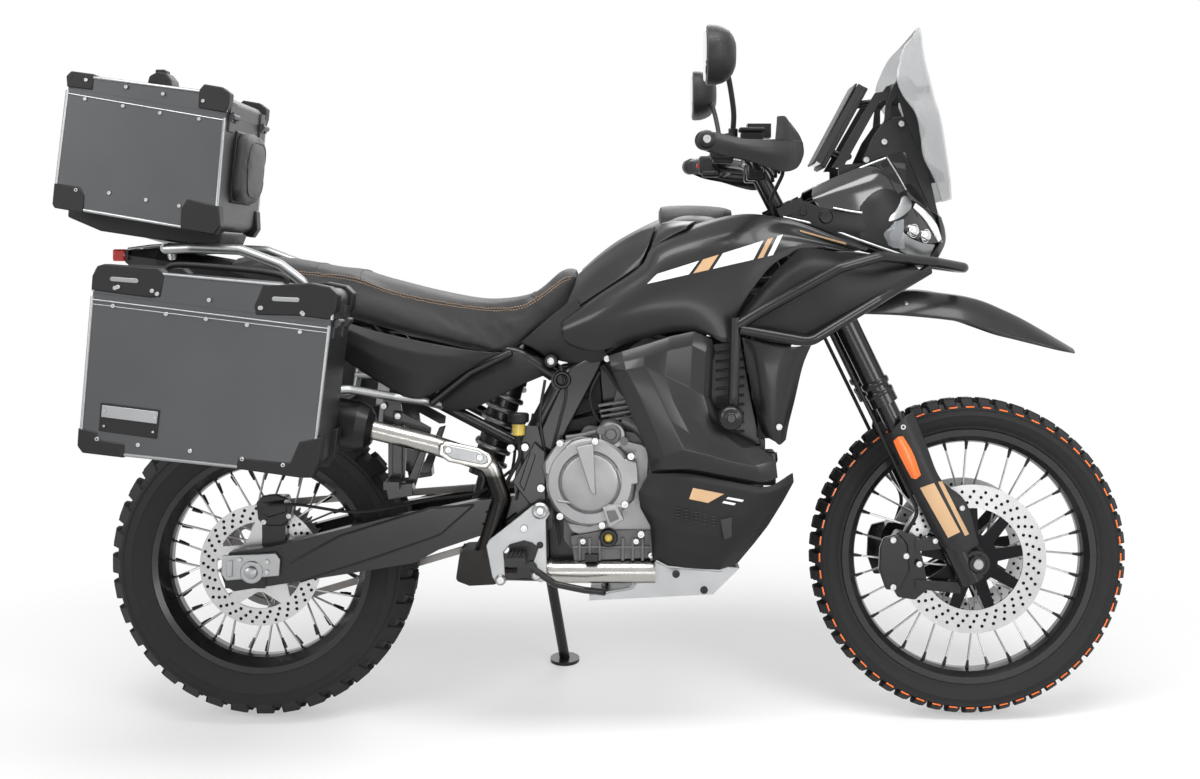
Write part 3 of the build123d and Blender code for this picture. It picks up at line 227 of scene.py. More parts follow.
def paint(name, colour, rough=0.32, coat=0.35, metal=0.0):
    # satin paint: faint orange peel, dust that dulls it in patches
    f = Finish(name, colour, rough, metal, coat)
    patch = f.noise(9.0, 5.0)
    f.set(colour=f.mix(patch, tint(colour, 0.86), tint(colour, 1.16)), rough=patch * 0.16 + (rough - 0.06))
    return f.bump(f.noise(900.0, 2.0), 0.06, 0.0004)


def plastic(name, colour, rough=0.5, grain=1400.0, depth=0.35):
    # moulded plastic: fine leather-like grain and rubbed, slightly shinier patches
    f = Finish(name, colour, rough)
    patch = f.noise(14.0, 6.0)
    f.set(colour=f.mix(patch, tint(colour, 0.78), tint(colour, 1.3)), rough=patch * 0.22 + (rough - 0.1))
    return f.bump(f.cells(grain) + f.noise(grain * 0.6, 3.0) * 0.5, depth, 0.0005)


def brushed(name, colour, rough=0.3, along=(1, 1, 90), depth=0.12):
    # drawn metal: noise stretched across the brushing, in roughness and bump
    f = Finish(name, colour, rough, 1.0)
    lines = f.noise(26.0, 6.0, f.stretched(along))
    cloud = f.noise(6.0, 3.0)
    f.set(colour=f.mix(cloud, tint(colour, 0.85), tint(colour, 1.1)), rough=lines * 0.25 + (rough - 0.1))
    return f.bump(lines, depth, 0.0005)


def cast(name, colour, rough=0.45, metal=0.6):
    # painted casting: sand texture with small pits
    f = Finish(name, colour, rough, metal)
    pits = f.cells(520.0)
    cloud = f.noise(18.0, 5.0)
    f.set(colour=f.mix(cloud, tint(colour, 0.75), tint(colour, 1.25)), rough=cloud * 0.25 + (rough - 0.1))
    return f.bump(pits + f.noise(260.0, 4.0), 0.28, 0.0009)


def rubber(name, colour, rough=0.72):
    # dusty rubber
    f = Finish(name, colour, rough)
    dust = f.noise(22.0, 8.0)
    f.set(colour=f.mix(dust, tint(colour, 0.7), tint(colour, 1.7)), rough=dust * 0.2 + (rough - 0.1))
    return f.bump(f.noise(700.0, 5.0), 0.22, 0.0006)


def vinyl(name, colour):
    # seat cover: small closed cells with fine creases
    f = Finish(name, colour, 0.55)
    cellsAt = f.cells(520.0, feature="DISTANCE_TO_EDGE")
    wear = f.noise(11.0, 5.0)
    f.set(colour=f.mix(wear, tint(colour, 0.8), tint(colour, 1.7)), rough=wear * 0.2 + 0.42)
    f.shader.inputs["Sheen Weight"].default_value = 0.15
    return f.bump(cellsAt.atMost(0.12) * 6.0 + f.noise(1800.0, 2.0) * 0.4, 0.45, 0.0007)


def thread(name, colour):
    # twisted yarn: sloping stripes, darker in the twist's grooves as painted shade
    f = Finish(name, colour, 0.75)
    twist = (f.split(f.place())[0] * 4200.0 + f.split(f.place())[2] * 2600.0).sine()
    # the colour darkens where the twist's bump is low: painted shade in the grooves
    f.set(colour=f.mix(twist * 0.5 + 0.5, tint(colour, 0.6), colour))
    return f.bump(twist, 0.5, 0.0004)


def clear(name, colour, alpha, rough=0.05):
    # thin smoked plastic: see-through by alpha, with fine dust in the gloss
    f = Finish(name, colour, rough, coat=0.6)
    haze = f.noise(5.0, 4.0)
    f.set(alpha=haze * 0.06 + (alpha - 0.03), rough=haze * 0.08 + rough,
          colour=f.mix(haze, tint(colour, 0.9), colour))
    return f


# each finish: its maker and the values that follow the name
finishTable = {
    "framePaint": (paint, (0.008, 0.008, 0.0085), 0.3, 0.2),
    "engineCast": (cast, (0.12, 0.12, 0.122), 0.42, 0.55),
    "coverCast": (cast, (0.3, 0.3, 0.305), 0.38, 0.65),
    "pipeSteel": (brushed, (0.42, 0.41, 0.39), 0.26, (1, 1, 1), 0.03),
    "mufflerBlack": (paint, (0.009, 0.009, 0.01), 0.34, 0.1, 0.3),
    "coreBlack": (cast, (0.02, 0.02, 0.02), 0.5, 0.4),
    "bodyGrey": (paint, (0.012, 0.0122, 0.0128), 0.3, 0.2),
    "deepGrey": (paint, (0.0065, 0.0066, 0.007), 0.32, 0.15),
    "blackPlastic": (plastic, (0.0065, 0.0065, 0.007), 0.42),
    "trimPlastic": (plastic, (0.015, 0.0152, 0.016), 0.42),
    "silver": (brushed, (0.34, 0.345, 0.35), 0.36, (1, 1, 1), 0.06),
    "caseGrey": (brushed, (0.09, 0.0915, 0.095), 0.4, (1, 1, 60), 0.05),
    # paler brushed metal: the latches' and slots' own metal, and on the cases' edge beads a painted highlight
    # of the rounded edges
    "caseEdge": (brushed, (0.3, 0.305, 0.31), 0.35, (1, 1, 30), 0.05),
    "lampClear": (clear, (0.5, 0.52, 0.55), 0.35),
    "lampWhite": (paint, (0.72, 0.73, 0.75), 0.2, 0.6),
    "ledWhite": (paint, (0.85, 0.86, 0.88), 0.25, 0.4),
    "smoke": (paint, (0.014, 0.014, 0.015), 0.16, 0.9),
    "screenClear": (clear, (0.42, 0.43, 0.44), 0.5, 0.08),
    "mirrorGlass": (brushed, (0.8, 0.8, 0.8), 0.12, (1, 1, 1), 0.0),
    "displayGlass": (paint, (0.008, 0.008, 0.009), 0.12, 0.8),
    "seatVinyl": (vinyl, (0.012, 0.012, 0.0125)),
    "padVinyl": (vinyl, (0.03, 0.03, 0.031)),
    "tyreRubber": (rubber, (0.011, 0.011, 0.0115)),
    "rimBlack": (paint, (0.009, 0.009, 0.01), 0.2, 0.6),
    "discSteel": (brushed, (0.5, 0.5, 0.5), 0.32, (1, 1, 1), 0.1),
    "chainSteel": (brushed, (0.22, 0.21, 0.2), 0.4, (1, 1, 1), 0.1),
    "forkBlack": (paint, (0.008, 0.008, 0.009), 0.24, 0.3, 0.2),
    "hose": (rubber, (0.012, 0.012, 0.012), 0.5),
    "shockPaint": (paint, (0.02, 0.02, 0.021), 0.35, 0.3),
    "orange": (paint, (0.85, 0.16, 0.02), 0.3, 0.5),
    "tan": (paint, (0.56, 0.36, 0.2), 0.42, 0.1),
    "white": (paint, (0.78, 0.78, 0.77), 0.4, 0.2),
    "boltSteel": (brushed, (0.5, 0.5, 0.5), 0.32, (1, 1, 1), 0.1),
    "boltBlack": (brushed, (0.035, 0.035, 0.035), 0.35, (1, 1, 1), 0.1),
    "tanThread": (thread, (0.6, 0.4, 0.25)),
    "redLens": (paint, (0.42, 0.008, 0.008), 0.12, 0.8),
    "fluidGold": (paint, (0.55, 0.4, 0.06), 0.15, 0.8),
}
finishes = {name: maker(name, *values) for name, (maker, *values) in finishTable.items()}
# the link pipe darkens below a height (m), over one part in steepness of a metre, behind frontX
linkPipe = {"below": 0.56, "steepness": 40.0, "frontX": 0.6}


def darkenLinkPipe():
    f = finishes["pipeSteel"]
    x, y, z = f.split(f.place())
    low = ((linkPipe["below"] - z) * linkPipe["steepness"]).atLeast(0.0).atMost(1.0)
    low = low * (x < linkPipe["frontX"])
    cloud = f.noise(6.0, 3.0)
    bare = f.mix(cloud, (0.36, 0.35, 0.33), (0.46, 0.45, 0.43))
    f.set(colour=f.mix(low, bare, f.mix(cloud, (0.014, 0.014, 0.014), (0.03, 0.028, 0.026))))


darkenLinkPipe()
print("finishes made:", len(finishes))


# the floor's grey and half side (m); it turns white from the bike outwards: share of white =
# distance x spread - start, never under least; the world's light on the bike, and as looked at
stage = {"tone": 0.92, "half": 30.0, "middleX": 0.77, "along": 0.62, "across": 1.05, "spread": 0.9,
         "start": 0.12, "least": 0.42, "worldLight": 0.3, "worldSeen": 1.0}


def makeStage():
    data = bpy.data.meshes.new("floor")
    s, tone = stage["half"], (stage["tone"],) * 3
    data.from_pydata([(-s, -s, 0), (s, -s, 0), (s, s, 0), (-s, s, 0)], [], [(0, 1, 2, 3)])
    floor = bpy.data.objects.new("floor", data)
    bpy.context.scene.collection.objects.link(floor)
    f = Finish("floorPale", tone, 0.9)
    f.set(colour=f.mix(f.noise(0.6, 2.0), tint(tone, 0.98), tone))
    x, y, z = f.split(f.place())
    far = (((x - stage["middleX"]) * stage["along"]) ** 2 + (y * stage["across"]) ** 2).root()
    seen = f.whiteSeen()
    white = f.node("ShaderNodeEmission", {}, {"Color": (1.0, 1.0, 1.0), "Strength": 1.0})
    share = (far * stage["spread"] - stage["start"]).atLeast(stage["least"]).atMost(1.0)
    blend = f.node("ShaderNodeMixShader", {}, {0: seen * share, 1: Value(f, f.shader.outputs[0]), 2: white})
    f.feed([n for n in f.tree.nodes if n.type == "OUTPUT_MATERIAL"][0].inputs[0], blend)
    data.materials.append(f.material)
    world = bpy.data.worlds.new("studio")
    bpy.context.scene.world = world
    world.use_nodes = True
    tree = world.node_tree
    back = [n for n in tree.nodes if n.type == "BACKGROUND"][0]
    back.inputs[0].default_value = (1, 1, 1, 1)
    path = tree.nodes.new("ShaderNodeLightPath")
    seen = path.outputs["Is Camera Ray"]
    for ray in ("Is Glossy Ray", "Is Transmission Ray"):
        either = tree.nodes.new("ShaderNodeMath")
        either.operation = "MAXIMUM"
        tree.links.new(seen, either.inputs[0])
        tree.links.new(path.outputs[ray], either.inputs[1])
        seen = either.outputs[0]
    level = tree.nodes.new("ShaderNodeMapRange")
    tree.links.new(seen, level.inputs[0])
    level.inputs[3].default_value, level.inputs[4].default_value = stage["worldLight"], stage["worldSeen"]
    tree.links.new(level.outputs[0], back.inputs[1])


# lamps: place and aim (m), size, watts and, for a strip, its length
lamps = {"lampTop": ((0.0, -0.9, 3.2), (0, 0, 0.7), 3.4, 95.0, 1.0),
         "lampFront": ((2.9, -2.8, 2.0), (0.4, 0, 0.6), 1.5, 55.0),
         "lampRear": ((-3.2, -2.4, 2.2), (-0.5, 0, 0.7), 1.5, 45.0),
         "lampLow": ((0.2, -4.6, 0.9), (0.1, 0, 0.6), 3.0, 26.0, 0.5),
         "lampFar": ((0.5, 3.4, 2.8), (0, 0, 0.7), 2.4, 60.0)}


def makeLamp(name, at, aim, size, power, long=None):
    data = bpy.data.lights.new(name, "AREA")
    data.energy, data.size = power, size
    if long:
        data.shape, data.size_y = "RECTANGLE", long
    lamp = bpy.data.objects.new(name, data)
    bpy.context.scene.collection.objects.link(lamp)
    lamp.location = at
    lamp.rotation_mode = "QUATERNION"
    lamp.rotation_quaternion = (Vector(aim) - Vector(at)).to_track_quat("-Z", "Y")


makeStage()
for name, values in lamps.items():
    makeLamp(name, *values)
bpy.context.scene.view_settings.view_transform = "Standard"
print("stage, camera and lamps made")


# mesh tools
def gridFaces(nu, nv, loopU=False, loopV=False):
    # quads of a grid whose point (i, j) has index i * nv + j
    i = np.arange(nu if loopU else nu - 1)[:, None]
    j = np.arange(nv if loopV else nv - 1)[None, :]
    i1, j1 = (i + 1) % nu, (j + 1) % nv
    return np.stack([i * nv + j, i1 * nv + j, i1 * nv + j1, i * nv + j1], -1).reshape(-1, 4)


def makePiece(name, points, faces, body, finish, smooth=True, world=False):
    # points in millimetres, or in placed metres with world; faces is one index array, with rows of
    # three or four, or a list of them
    data = bpy.data.meshes.new(name)
    co = (np.asarray(points, float) if world else toWorld(points)).reshape(-1, 3)
    groups = faces if isinstance(faces, list) else [faces]
    sizes = np.concatenate([np.full(len(g), g.shape[1]) for g in groups])
    loops = np.concatenate([g.reshape(-1) for g in groups]).astype(np.int32)
    data.vertices.add(len(co))
    data.vertices.foreach_set("co", co.astype(np.float32).ravel())
    data.loops.add(len(loops))
    data.loops.foreach_set("vertex_index", loops)
    data.polygons.add(len(sizes))
    data.polygons.foreach_set("loop_start", (np.cumsum(sizes) - sizes).astype(np.int32))
    data.polygons.foreach_set("use_smooth", np.full(len(sizes), smooth))
    data.update(calc_edges=True)
    data.validate()
    data.materials.append(finishes[finish].material)
    piece = bpy.data.objects.new(name, data)
    bpy.context.scene.collection.objects.link(piece)
    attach(piece, body)
    return piece


def tidyPiece(piece, merge=0.00002):
    # merge doubles and turn all faces outwards
    mesh = bmesh.new()
    mesh.from_mesh(piece.data)
    bmesh.ops.remove_doubles(mesh, verts=mesh.verts, dist=merge)
    bmesh.ops.recalc_face_normals(mesh, faces=mesh.faces)
    mesh.to_mesh(piece.data)
    mesh.free()
    return piece


def standing(piece, replaces=None):
    # a new piece, with the CAD node that it stands for hidden
    if replaces:
        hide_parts(replaces)
    return piece


def bevel(piece, width, segments=2, angle=35):
    m = piece.modifiers.new("bevel", "BEVEL")
    m.width, m.segments = width / 1000.0, segments
    m.limit_method, m.angle_limit = "ANGLE", math.radians(angle)
    m.harden_normals = False


def walled(piece, thick, offset):
    # a wall (mm) given to a sheet: inwards at offset -1, half to each side at 0
    wall = piece.modifiers.new("wall", "SOLIDIFY")
    wall.thickness, wall.offset = thick / 1000.0, offset


def smoothByAngle(piece, degrees):
    piece.data.set_sharp_from_angle(angle=math.radians(degrees))
    return piece


def curveThrough(points, count, closed=False):
    # Catmull-Rom curve through the points at evenly spaced parameters
    p = np.asarray(points, float)
    n = len(p)
    if closed:
        t = np.linspace(0, n, count, endpoint=False)
        k = np.floor(t).astype(int)
        a, b, c, d = p[(k - 1) % n], p[k % n], p[(k + 1) % n], p[(k + 2) % n]
    else:
        t = np.linspace(0, n - 1, count)
        k = np.minimum(np.floor(t).astype(int), n - 2)
        q = np.vstack([2 * p[0] - p[1], p, 2 * p[-1] - p[-2]])
        a, b, c, d = q[k], q[k + 1], q[k + 2], q[k + 3]
    s = (t - k)[:, None]
    return 0.5 * (2 * b + (c - a) * s + (2 * a - 5 * b + 4 * c - d) * s ** 2 +
                  (3 * b - a - 3 * c + d) * s ** 3)


def tubeGrid(path, radius, sides=16):
    # circles square to the path: centre + r (cos t n + sin t b)
    p = np.asarray(path, float)
    tangent = np.gradient(p, axis=0)
    tangent /= np.linalg.norm(tangent, axis=1)[:, None]
    guide = np.array([0.03, 0.1, 1.0]) if abs(tangent[:, 2]).mean() < 0.8 else np.array([0.03, 1.0, 0.1])
    n = np.cross(tangent, guide)
    n /= np.linalg.norm(n, axis=1)[:, None]
    b = np.cross(tangent, n)
    t = np.linspace(0, 2 * math.pi, sides, endpoint=False)
    r = np.broadcast_to(np.asarray(radius, float), (len(p),))[:, None, None]
    return p[:, None, :] + r * (np.cos(t)[None, :, None] * n[:, None, :] +
                                np.sin(t)[None, :, None] * b[:, None, :])


def capped(grid):
    # closed tube: both ends drawn in to their middles
    first, last = grid[:1].mean(1, keepdims=True), grid[-1:].mean(1, keepdims=True)
    return np.concatenate([np.repeat(first, grid.shape[1], 1), grid, np.repeat(last, grid.shape[1], 1)])


def turned(profile, centre, count, axis):
    # profile (radius, along) turned about an axis through the centre
    prof = np.asarray(profile, float)
    a = np.asarray(axis, float) / np.linalg.norm(axis)
    side = np.cross(a, (0.0, 0.0, 1.0) if abs(a[2]) < 0.9 else (1.0, 0.0, 0.0))
    side /= np.linalg.norm(side)
    other = np.cross(a, side)
    t = np.linspace(0, 2 * math.pi, count, endpoint=False)[:, None, None]
    r, w = prof[:, 0][None, :, None], prof[:, 1][None, :, None]
    return np.asarray(centre, float) + r * (np.cos(t) * side + np.sin(t) * other) + w * a


def joined(shapes, mirrored=False):
    # shapes are (points, face arrays); mirrored adds each one's image on the other side of the bike
    points, faces, start = [], [], 0
    for p, groups in shapes:
        p = np.asarray(p, float).reshape(-1, 3)
        for flip in ((1, -1) if mirrored else (1,)):
            points.append(p * np.array([1, flip, 1]))
            faces += [g[:, ::flip] + start for g in groups]
            start += len(p)
    return np.vstack(points), faces


def makeGroup(name, shapes, finish, mirrored=False, edge=0.0, angle=35, replaces=None,
              body="chassis"):
    points, faces = joined(shapes, mirrored)
    piece = tidyPiece(makePiece(name, points, faces, body, finish))
    if edge:
        bevel(piece, edge)
    return standing(smoothByAngle(piece, angle), replaces)


def slab(outline, y0, y1):
    # (x, z) outline drawn out from y0 to y1
    flat = np.asarray(outline, float)
    ring = [np.column_stack([flat[:, 0], np.full(len(flat), y), flat[:, 1]]) for y in (y0, y1)]
    n = len(flat)
    k = np.arange(n)
    sides = np.stack([k, (k + 1) % n, (k + 1) % n + n, k + n], 1)
    return np.vstack(ring), [sides, k[::-1][None], (k + n)[None]]


def seenSlab(outline, y0, y1):
    # the same from drawing units, placed at the depth of y0
    p = drawnLine(outline, y0)
    return slab(p[:, [0, 2]], y0, y1)


def box(x0, x1, y0, y1, z0, z1):
    return slab([(x0, z0), (x1, z0), (x1, z1), (x0, z1)], y0, y1)


def roundEnds(a, b, width, steps=8):
    # outline of a bar from a to b with half-round ends
    a, b = np.asarray(a, float), np.asarray(b, float)
    turn = math.atan2(*(b - a)[::-1])
    t = np.linspace(-math.pi / 2, math.pi / 2, steps)
    arc = np.column_stack([np.cos(t), np.sin(t)]) * width / 2
    spin = np.array([[math.cos(turn), math.sin(turn)], [-math.sin(turn), math.cos(turn)]])
    return np.vstack([b + arc @ spin, a - arc @ spin])


def tube(path, radius, sides=14):
    grid = capped(tubeGrid(path, radius, sides))
    return grid, [gridFaces(*grid.shape[:2], loopV=True)]


def bead(points, y, radius, sides=14):
    # a rod with straight runs between (h, v) points at depth y
    return tube(drawnLine(points, y), radius, sides)


def routed(points, y, count, radius, sides=14):
    # a rod curved through (h, v) points at depth y
    return tube(curveThrough(drawnLine(points, y), count), radius, sides)


def lathe(profile, centre, count=32, axis=(0, -1, 0)):
    grid = turned(profile, centre, count, axis)
    return grid, [gridFaces(*grid.shape[:2], loopU=True)]


def boltHead(centre, radius, height, axis=(0, -1, 0)):
    # round head with a socket in it
    r, h = radius, height
    return lathe([(0, 0), (r, 0), (r, 0.7 * h), (0.86 * r, h), (0.48 * r, h), (0.42 * r, 0.5 * h),
                  (0, 0.5 * h)], centre, 20, axis)


def makeBolts(name, places, radius, height, finish="boltSteel", axis=(0, -1, 0), mirrored=False,
              body="chassis"):
    # places are (h, v, y)
    return makeGroup(name, [boltHead(drawn(*p), radius, height, axis) for p in places], finish, mirrored,
                     body=body)


def dress(table):
    # a finish for each carried CAD node
    for finish, names in table.items():
        for name in names:
            slots = nodes[name].data.materials
            slots.clear()
            slots.append(finishes[finish].material)


dress({
    "framePaint": ["main_frame", "subframe", "crash_bars", "instrument_bracket", "side_stand", "swingarm",
                   "foot_controls", "handlebar", "triple_clamps", "peg_brackets"],
    "engineCast": ["engine"],
    "coverCast": ["engine_covers"],
    "pipeSteel": ["exhaust_pipe"],
    "mufflerBlack": ["muffler"],
    "coreBlack": ["radiator"],
    "bodyGrey": ["fuel_tank", "tank_covers", "shrouds", "low_fairings", "side_panels"],
    "deepGrey": ["nose_cowl", "fork_guards", "handguards"],
    "blackPlastic": ["engine_guards", "front_fender", "mirrors", "tail_unit"],
    "silver": ["skid_plate", "rear_rack", "pannier_racks"],
    "caseGrey": ["right_case", "left_case", "top_case", "right_lid", "left_lid", "top_lid"],
    "lampClear": ["headlight"],
    "screenClear": ["windscreen"],
    "displayGlass": ["display"],
    "seatVinyl": ["seat"],
    "padVinyl": ["backrest_pad"],
    "tyreRubber": ["front_tyre", "rear_tyre"],
    "rimBlack": ["front_wheel", "rear_wheel"],
    "discSteel": ["front_discs", "rear_disc"],
    "chainSteel": ["chain", "rear_sprocket"],
    "forkBlack": ["fork_legs", "front_calipers", "rear_caliper"],
    "hose": ["brake_hoses"],
    "shockPaint": ["shock"],
})
print("nodes dressed")


def evenRow(points, count):
    # a row of corner points read at evenly spaced lengths along its Catmull-Rom curve
    fine = curveThrough(points, 12 * len(points))
    along = np.concatenate([[0], np.cumsum(np.linalg.norm(np.diff(fine, axis=0), axis=1))])
    at = np.linspace(0, along[-1], count)
    return np.stack([np.interp(at, along, fine[:, k]) for k in range(fine.shape[1])], 1)


def rowGrid(rows, nu, nv, crisp=False):
    # rows of (h, v, y): each is smoothed along its length, then joined across, straight or curved
    lines = np.stack([evenRow(r, nu) for r in rows])
    t = np.linspace(0, len(rows) - 1, nv)
    if crisp:
        k = np.minimum(np.floor(t).astype(int), len(rows) - 2)
        s = (t - k)[:, None, None]
        grid = lines[k] * (1 - s) + lines[k + 1] * s
    else:
        grid = curveThrough(lines.reshape(len(rows), -1), nv).reshape(nv, nu, 3)
    return np.stack(drawn(grid[..., 0], grid[..., 1], grid[..., 2]), -1)


def onBothSides(grid):
    # the grid and its mirror image across the middle plane, faces pointing away from the middle
    faces = gridFaces(*grid.shape[:2])
    p = grid.reshape(-1, 3)
    across = np.cross(p[faces[:, 1]] - p[faces[:, 0]], p[faces[:, 3]] - p[faces[:, 0]])
    if across[:, 1].sum() > 0:
        faces = faces[:, ::-1]
    other = p * np.array([1, -1, 1])
    return np.vstack([p, other]), np.vstack([faces, faces[:, ::-1] + len(p)])


def makePanels(name, rows, finish, nu=40, nv=24, crisp=False, thick=4.0, edge=1.2, angle=35, facets=False,
               replaces=None, body="chassis"):
    # a curved panel on the right and its mirror on the left, given a wall inwards and rounded edges;
    # with facets it keeps the flat faces between the points of its rows
    flat = np.array([[drawn(*p) for p in row] for row in rows]) if facets else rowGrid(rows, nu, nv, crisp)
    points, faces = onBothSides(flat)
    piece = makePiece(name, points, faces, body, finish)
    walled(piece, thick, -1.0)
    if edge:
        bevel(piece, edge, 3 if facets else 2, angle)
    return standing(smoothByAngle(piece, 60 if facets else 32), replaces)


def ribSkin(name, ribs, finish, nu=60, nv=40, replaces=None, body="chassis"):
    # ribs: (x, [(y, z), ...]) from the middle out to the right side; mirrored, then smoothed both ways
    # and closed at both ends
    lines = []
    for x, half in ribs:
        pts = np.array([(x, -y, z) for y, z in half], float)
        whole = np.vstack([pts[::-1], pts[1:] * np.array([1, -1, 1])])
        lines.append(evenRow(whole, nv))
    lines = np.stack(lines)
    grid = curveThrough(lines.reshape(len(lines), -1), nu).reshape(nu, nv, 3)
    grid = capped(grid)
    piece = makePiece(name, grid, gridFaces(*grid.shape[:2], loopV=True), body, finish)
    return standing(smoothByAngle(tidyPiece(piece), 45), replaces)


# tank and its covers
tankRibs = [(690, [(0, 969), (45, 962), (78, 935), (90, 895), (70, 880)]),
            (730, [(0, 1004), (58, 996), (108, 962), (130, 905), (90, 885)]),
            (775, [(0, 1036), (66, 1028), (124, 992), (150, 930), (110, 885)]),
            (842, [(0, 1071), (74, 1062), (132, 1030), (158, 960), (120, 885)]),
            (900, [(0, 1092), (78, 1084), (134, 1052), (160, 975), (120, 885)]),
            (960, [(0, 1092), (76, 1084), (128, 1054), (152, 985), (110, 888)]),
            (1012, [(0, 1088), (44, 1080), (72, 1056), (78, 985), (50, 900)])]
ribSkin("tankShell", tankRibs, "deepGrey", replaces="fuel_tank")
topRibs = [(857, [(0, 1096), (40, 1090), (78, 1066), (92, 1050)]),
           (868, [(0, 1106), (44, 1100), (86, 1076), (98, 1056)]),
           (930, [(0, 1108), (44, 1103), (88, 1082), (102, 1060)]),
           (990, [(0, 1104), (42, 1099), (76, 1078), (84, 1060)]),
           (1014, [(0, 1098), (36, 1092), (60, 1072), (66, 1058)])]
ribSkin("tankTop", topRibs, "blackPlastic", 40, 36)

makePanels("kneePads", [
    [(578, 274, -78), (600, 256, -88), (622, 241, -96), (640, 231, -102), (655, 226, -106)],
    [(572, 290, -108), (596, 272, -122), (618, 258, -132), (636, 248, -138), (650, 240, -142)],
    [(566, 305, -128), (590, 291, -142), (612, 276, -152), (630, 264, -158), (645, 253, -160)],
    [(562, 317, -136), (582, 303, -150), (602, 290, -160), (622, 277, -166), (639, 266, -168)]],
    "bodyGrey", 30, 18)
makePanels("kneeTops", [
    [(661, 223, -112), (672, 221, -116), (684, 221, -120), (696, 221, -126)],
    [(656, 236, -146), (666, 230, -148), (678, 226, -150), (690, 224, -150)],
    [(652, 247, -164), (662, 241, -166), (674, 234, -166), (686, 228, -164)]], "bodyGrey", 20, 14)

coverRows = [
    [(562, 319, -134), (600, 293, -158), (640, 266, -168), (651, 249, -166), (672, 236, -160),
     (700, 223, -140), (745, 214, -144), (790, 220, -164), (835, 236, -166), (868, 248, -158)],
    [(561, 323, -148), (600, 297, -172), (641, 271, -184), (654, 254, -184), (674, 241, -180),
     (702, 228, -164), (745, 219, -158), (790, 225, -170), (833, 239, -171), (864, 250, -165)],
    [(561, 328, -156), (602, 304, -184), (645, 276, -198), (662, 260, -200), (684, 249, -200),
     (708, 241, -194), (742, 233, -184), (784, 234, -172), (826, 243, -166), (856, 251, -158)],
    [(562, 334, -158), (602, 314, -190), (645, 292, -207), (672, 278, -212), (694, 270, -213),
     (716, 262, -210), (744, 252, -202), (780, 243, -186), (816, 245, -176), (846, 251, -166)],
    [(565, 341, -155), (602, 330, -186), (645, 314, -206), (678, 304, -214), (702, 298, -216),
     (722, 288, -214), (746, 272, -208), (772, 256, -196), (800, 246, -184), (830, 249, -172)],
    [(574, 349, -148), (602, 350, -172), (640, 340, -190), (676, 332, -202), (704, 334, -208),
     (728, 342, -212), (737, 316, -210), (752, 290, -204), (776, 262, -194), (812, 247, -178)]]
makePanels("tankCovers", coverRows, "bodyGrey", 70, 44, replaces="tank_covers")


def surfaceAt(rows, crisp=False, nu=140, nv=90):
    # lookup of depth y on a panel from side drawing units (h, v)
    grid = rowGrid(rows, nu, nv, crisp)
    return [part.ravel() for part in toDrawn(grid[..., 0], grid[..., 1], grid[..., 2])]


def depthOn(table, h, v):
    # weighted mean of the four nearest grid points
    d = (table[0][None] - np.ravel(h)[:, None]) ** 2 + (table[1][None] - np.ravel(v)[:, None]) ** 2
    near = np.argpartition(d, 4, axis=1)[:, :4]
    w = 1 / (np.take_along_axis(d, near, 1) + 0.02)
    return ((table[2][near] * w).sum(1) / w.sum(1)).reshape(np.shape(h))


def makeDecals(name, shapes, table, finish, lift=0.7, nu=14, nv=8, body="chassis"):
    # four-cornered film pieces (h, v): bilinear grid laid on the panel and lifted off it a little
    allPoints, allFaces, start = [], [], 0
    for a, b, c, d in shapes:
        u, w = np.linspace(0, 1, nu)[:, None, None], np.linspace(0, 1, nv)[None, :, None]
        near = np.array(a) * (1 - u) + np.array(b) * u
        far = np.array(d) * (1 - u) + np.array(c) * u
        flat = near * (1 - w) + far * w
        y = depthOn(table, flat[..., 0], flat[..., 1]) - lift
        points, faces = onBothSides(np.stack(drawn(flat[..., 0], flat[..., 1], y), -1))
        allPoints.append(points)
        allFaces.append(faces + start)
        start += len(points)
    piece = makePiece(name, np.vstack(allPoints), np.vstack(allFaces), body, finish)
    return piece


coverTable = surfaceAt(coverRows)
# a row of slanted bars along a line on the cover, higher towards the front, in two colours
bars = {"from": np.array([652.0, 279.0]), "to": np.array([792.0, 241.0]), "high": 5.0, "grows": 6.0,
        "lean": 5.0}


def slantedBar(start, end):
    # start and end are shares of the line
    lean = bars["lean"]
    a, b = (bars["from"] + (bars["to"] - bars["from"]) * share for share in (start, end))
    highA, highB = (bars["high"] + bars["grows"] * share for share in (start, end))
    return ((a[0] + lean, a[1] - highA), (b[0] + lean, b[1] - highB),
            (b[0] - lean, b[1] + highB), (a[0] - lean, a[1] + highA))


makeDecals("coverFilmWhite", [slantedBar(0.0, 0.3), slantedBar(0.47, 0.76), slantedBar(0.86, 0.9)],
           coverTable, "white")
makeDecals("coverFilmTan", [slantedBar(0.33, 0.44), slantedBar(0.79, 0.83),
                            ((800, 230), (846, 243), (846, 245), (800, 231.6))],
           coverTable, "tan")
print("tank and covers made")

# shrouds inside the crash bars
makePanels("wingPanels", [
    [(737, 318, -206), (760, 289, -206), (788, 259, -200), (806, 248, -190), (850, 254, -180),
     (912, 263, -160)],
    [(741, 322, -230), (768, 294, -236), (798, 270, -236), (826, 263, -230), (868, 268, -206),
     (918, 268, -176)],
    [(746, 330, -238), (778, 320, -242), (808, 308, -240), (840, 294, -236), (878, 284, -216),
     (920, 270, -184)],
    [(750, 337, -230), (780, 343, -234), (811, 344, -232), (848, 321, -226), (886, 298, -210),
     (924, 274, -180)]], "blackPlastic", 50, 28, replaces="shrouds")
makePanels("shroudPanels", [
    [(742, 338, -206), (758, 341, -214), (776, 345, -220), (796, 347, -214), (812, 344, -192)],
    [(746, 362, -200), (758, 364, -214), (774, 368, -220), (790, 370, -212), (803, 366, -188)],
    [(752, 396, -196), (762, 398, -210), (774, 400, -216), (784, 402, -208), (795, 400, -184)],
    [(758, 420, -192), (766, 426, -206), (774, 430, -210), (781, 432, -204), (789, 424, -184)],
    [(762, 432, -188), (768, 438, -200), (775, 442, -204), (780, 445, -200), (786, 440, -184)]],
    "bodyGrey", 30, 30)

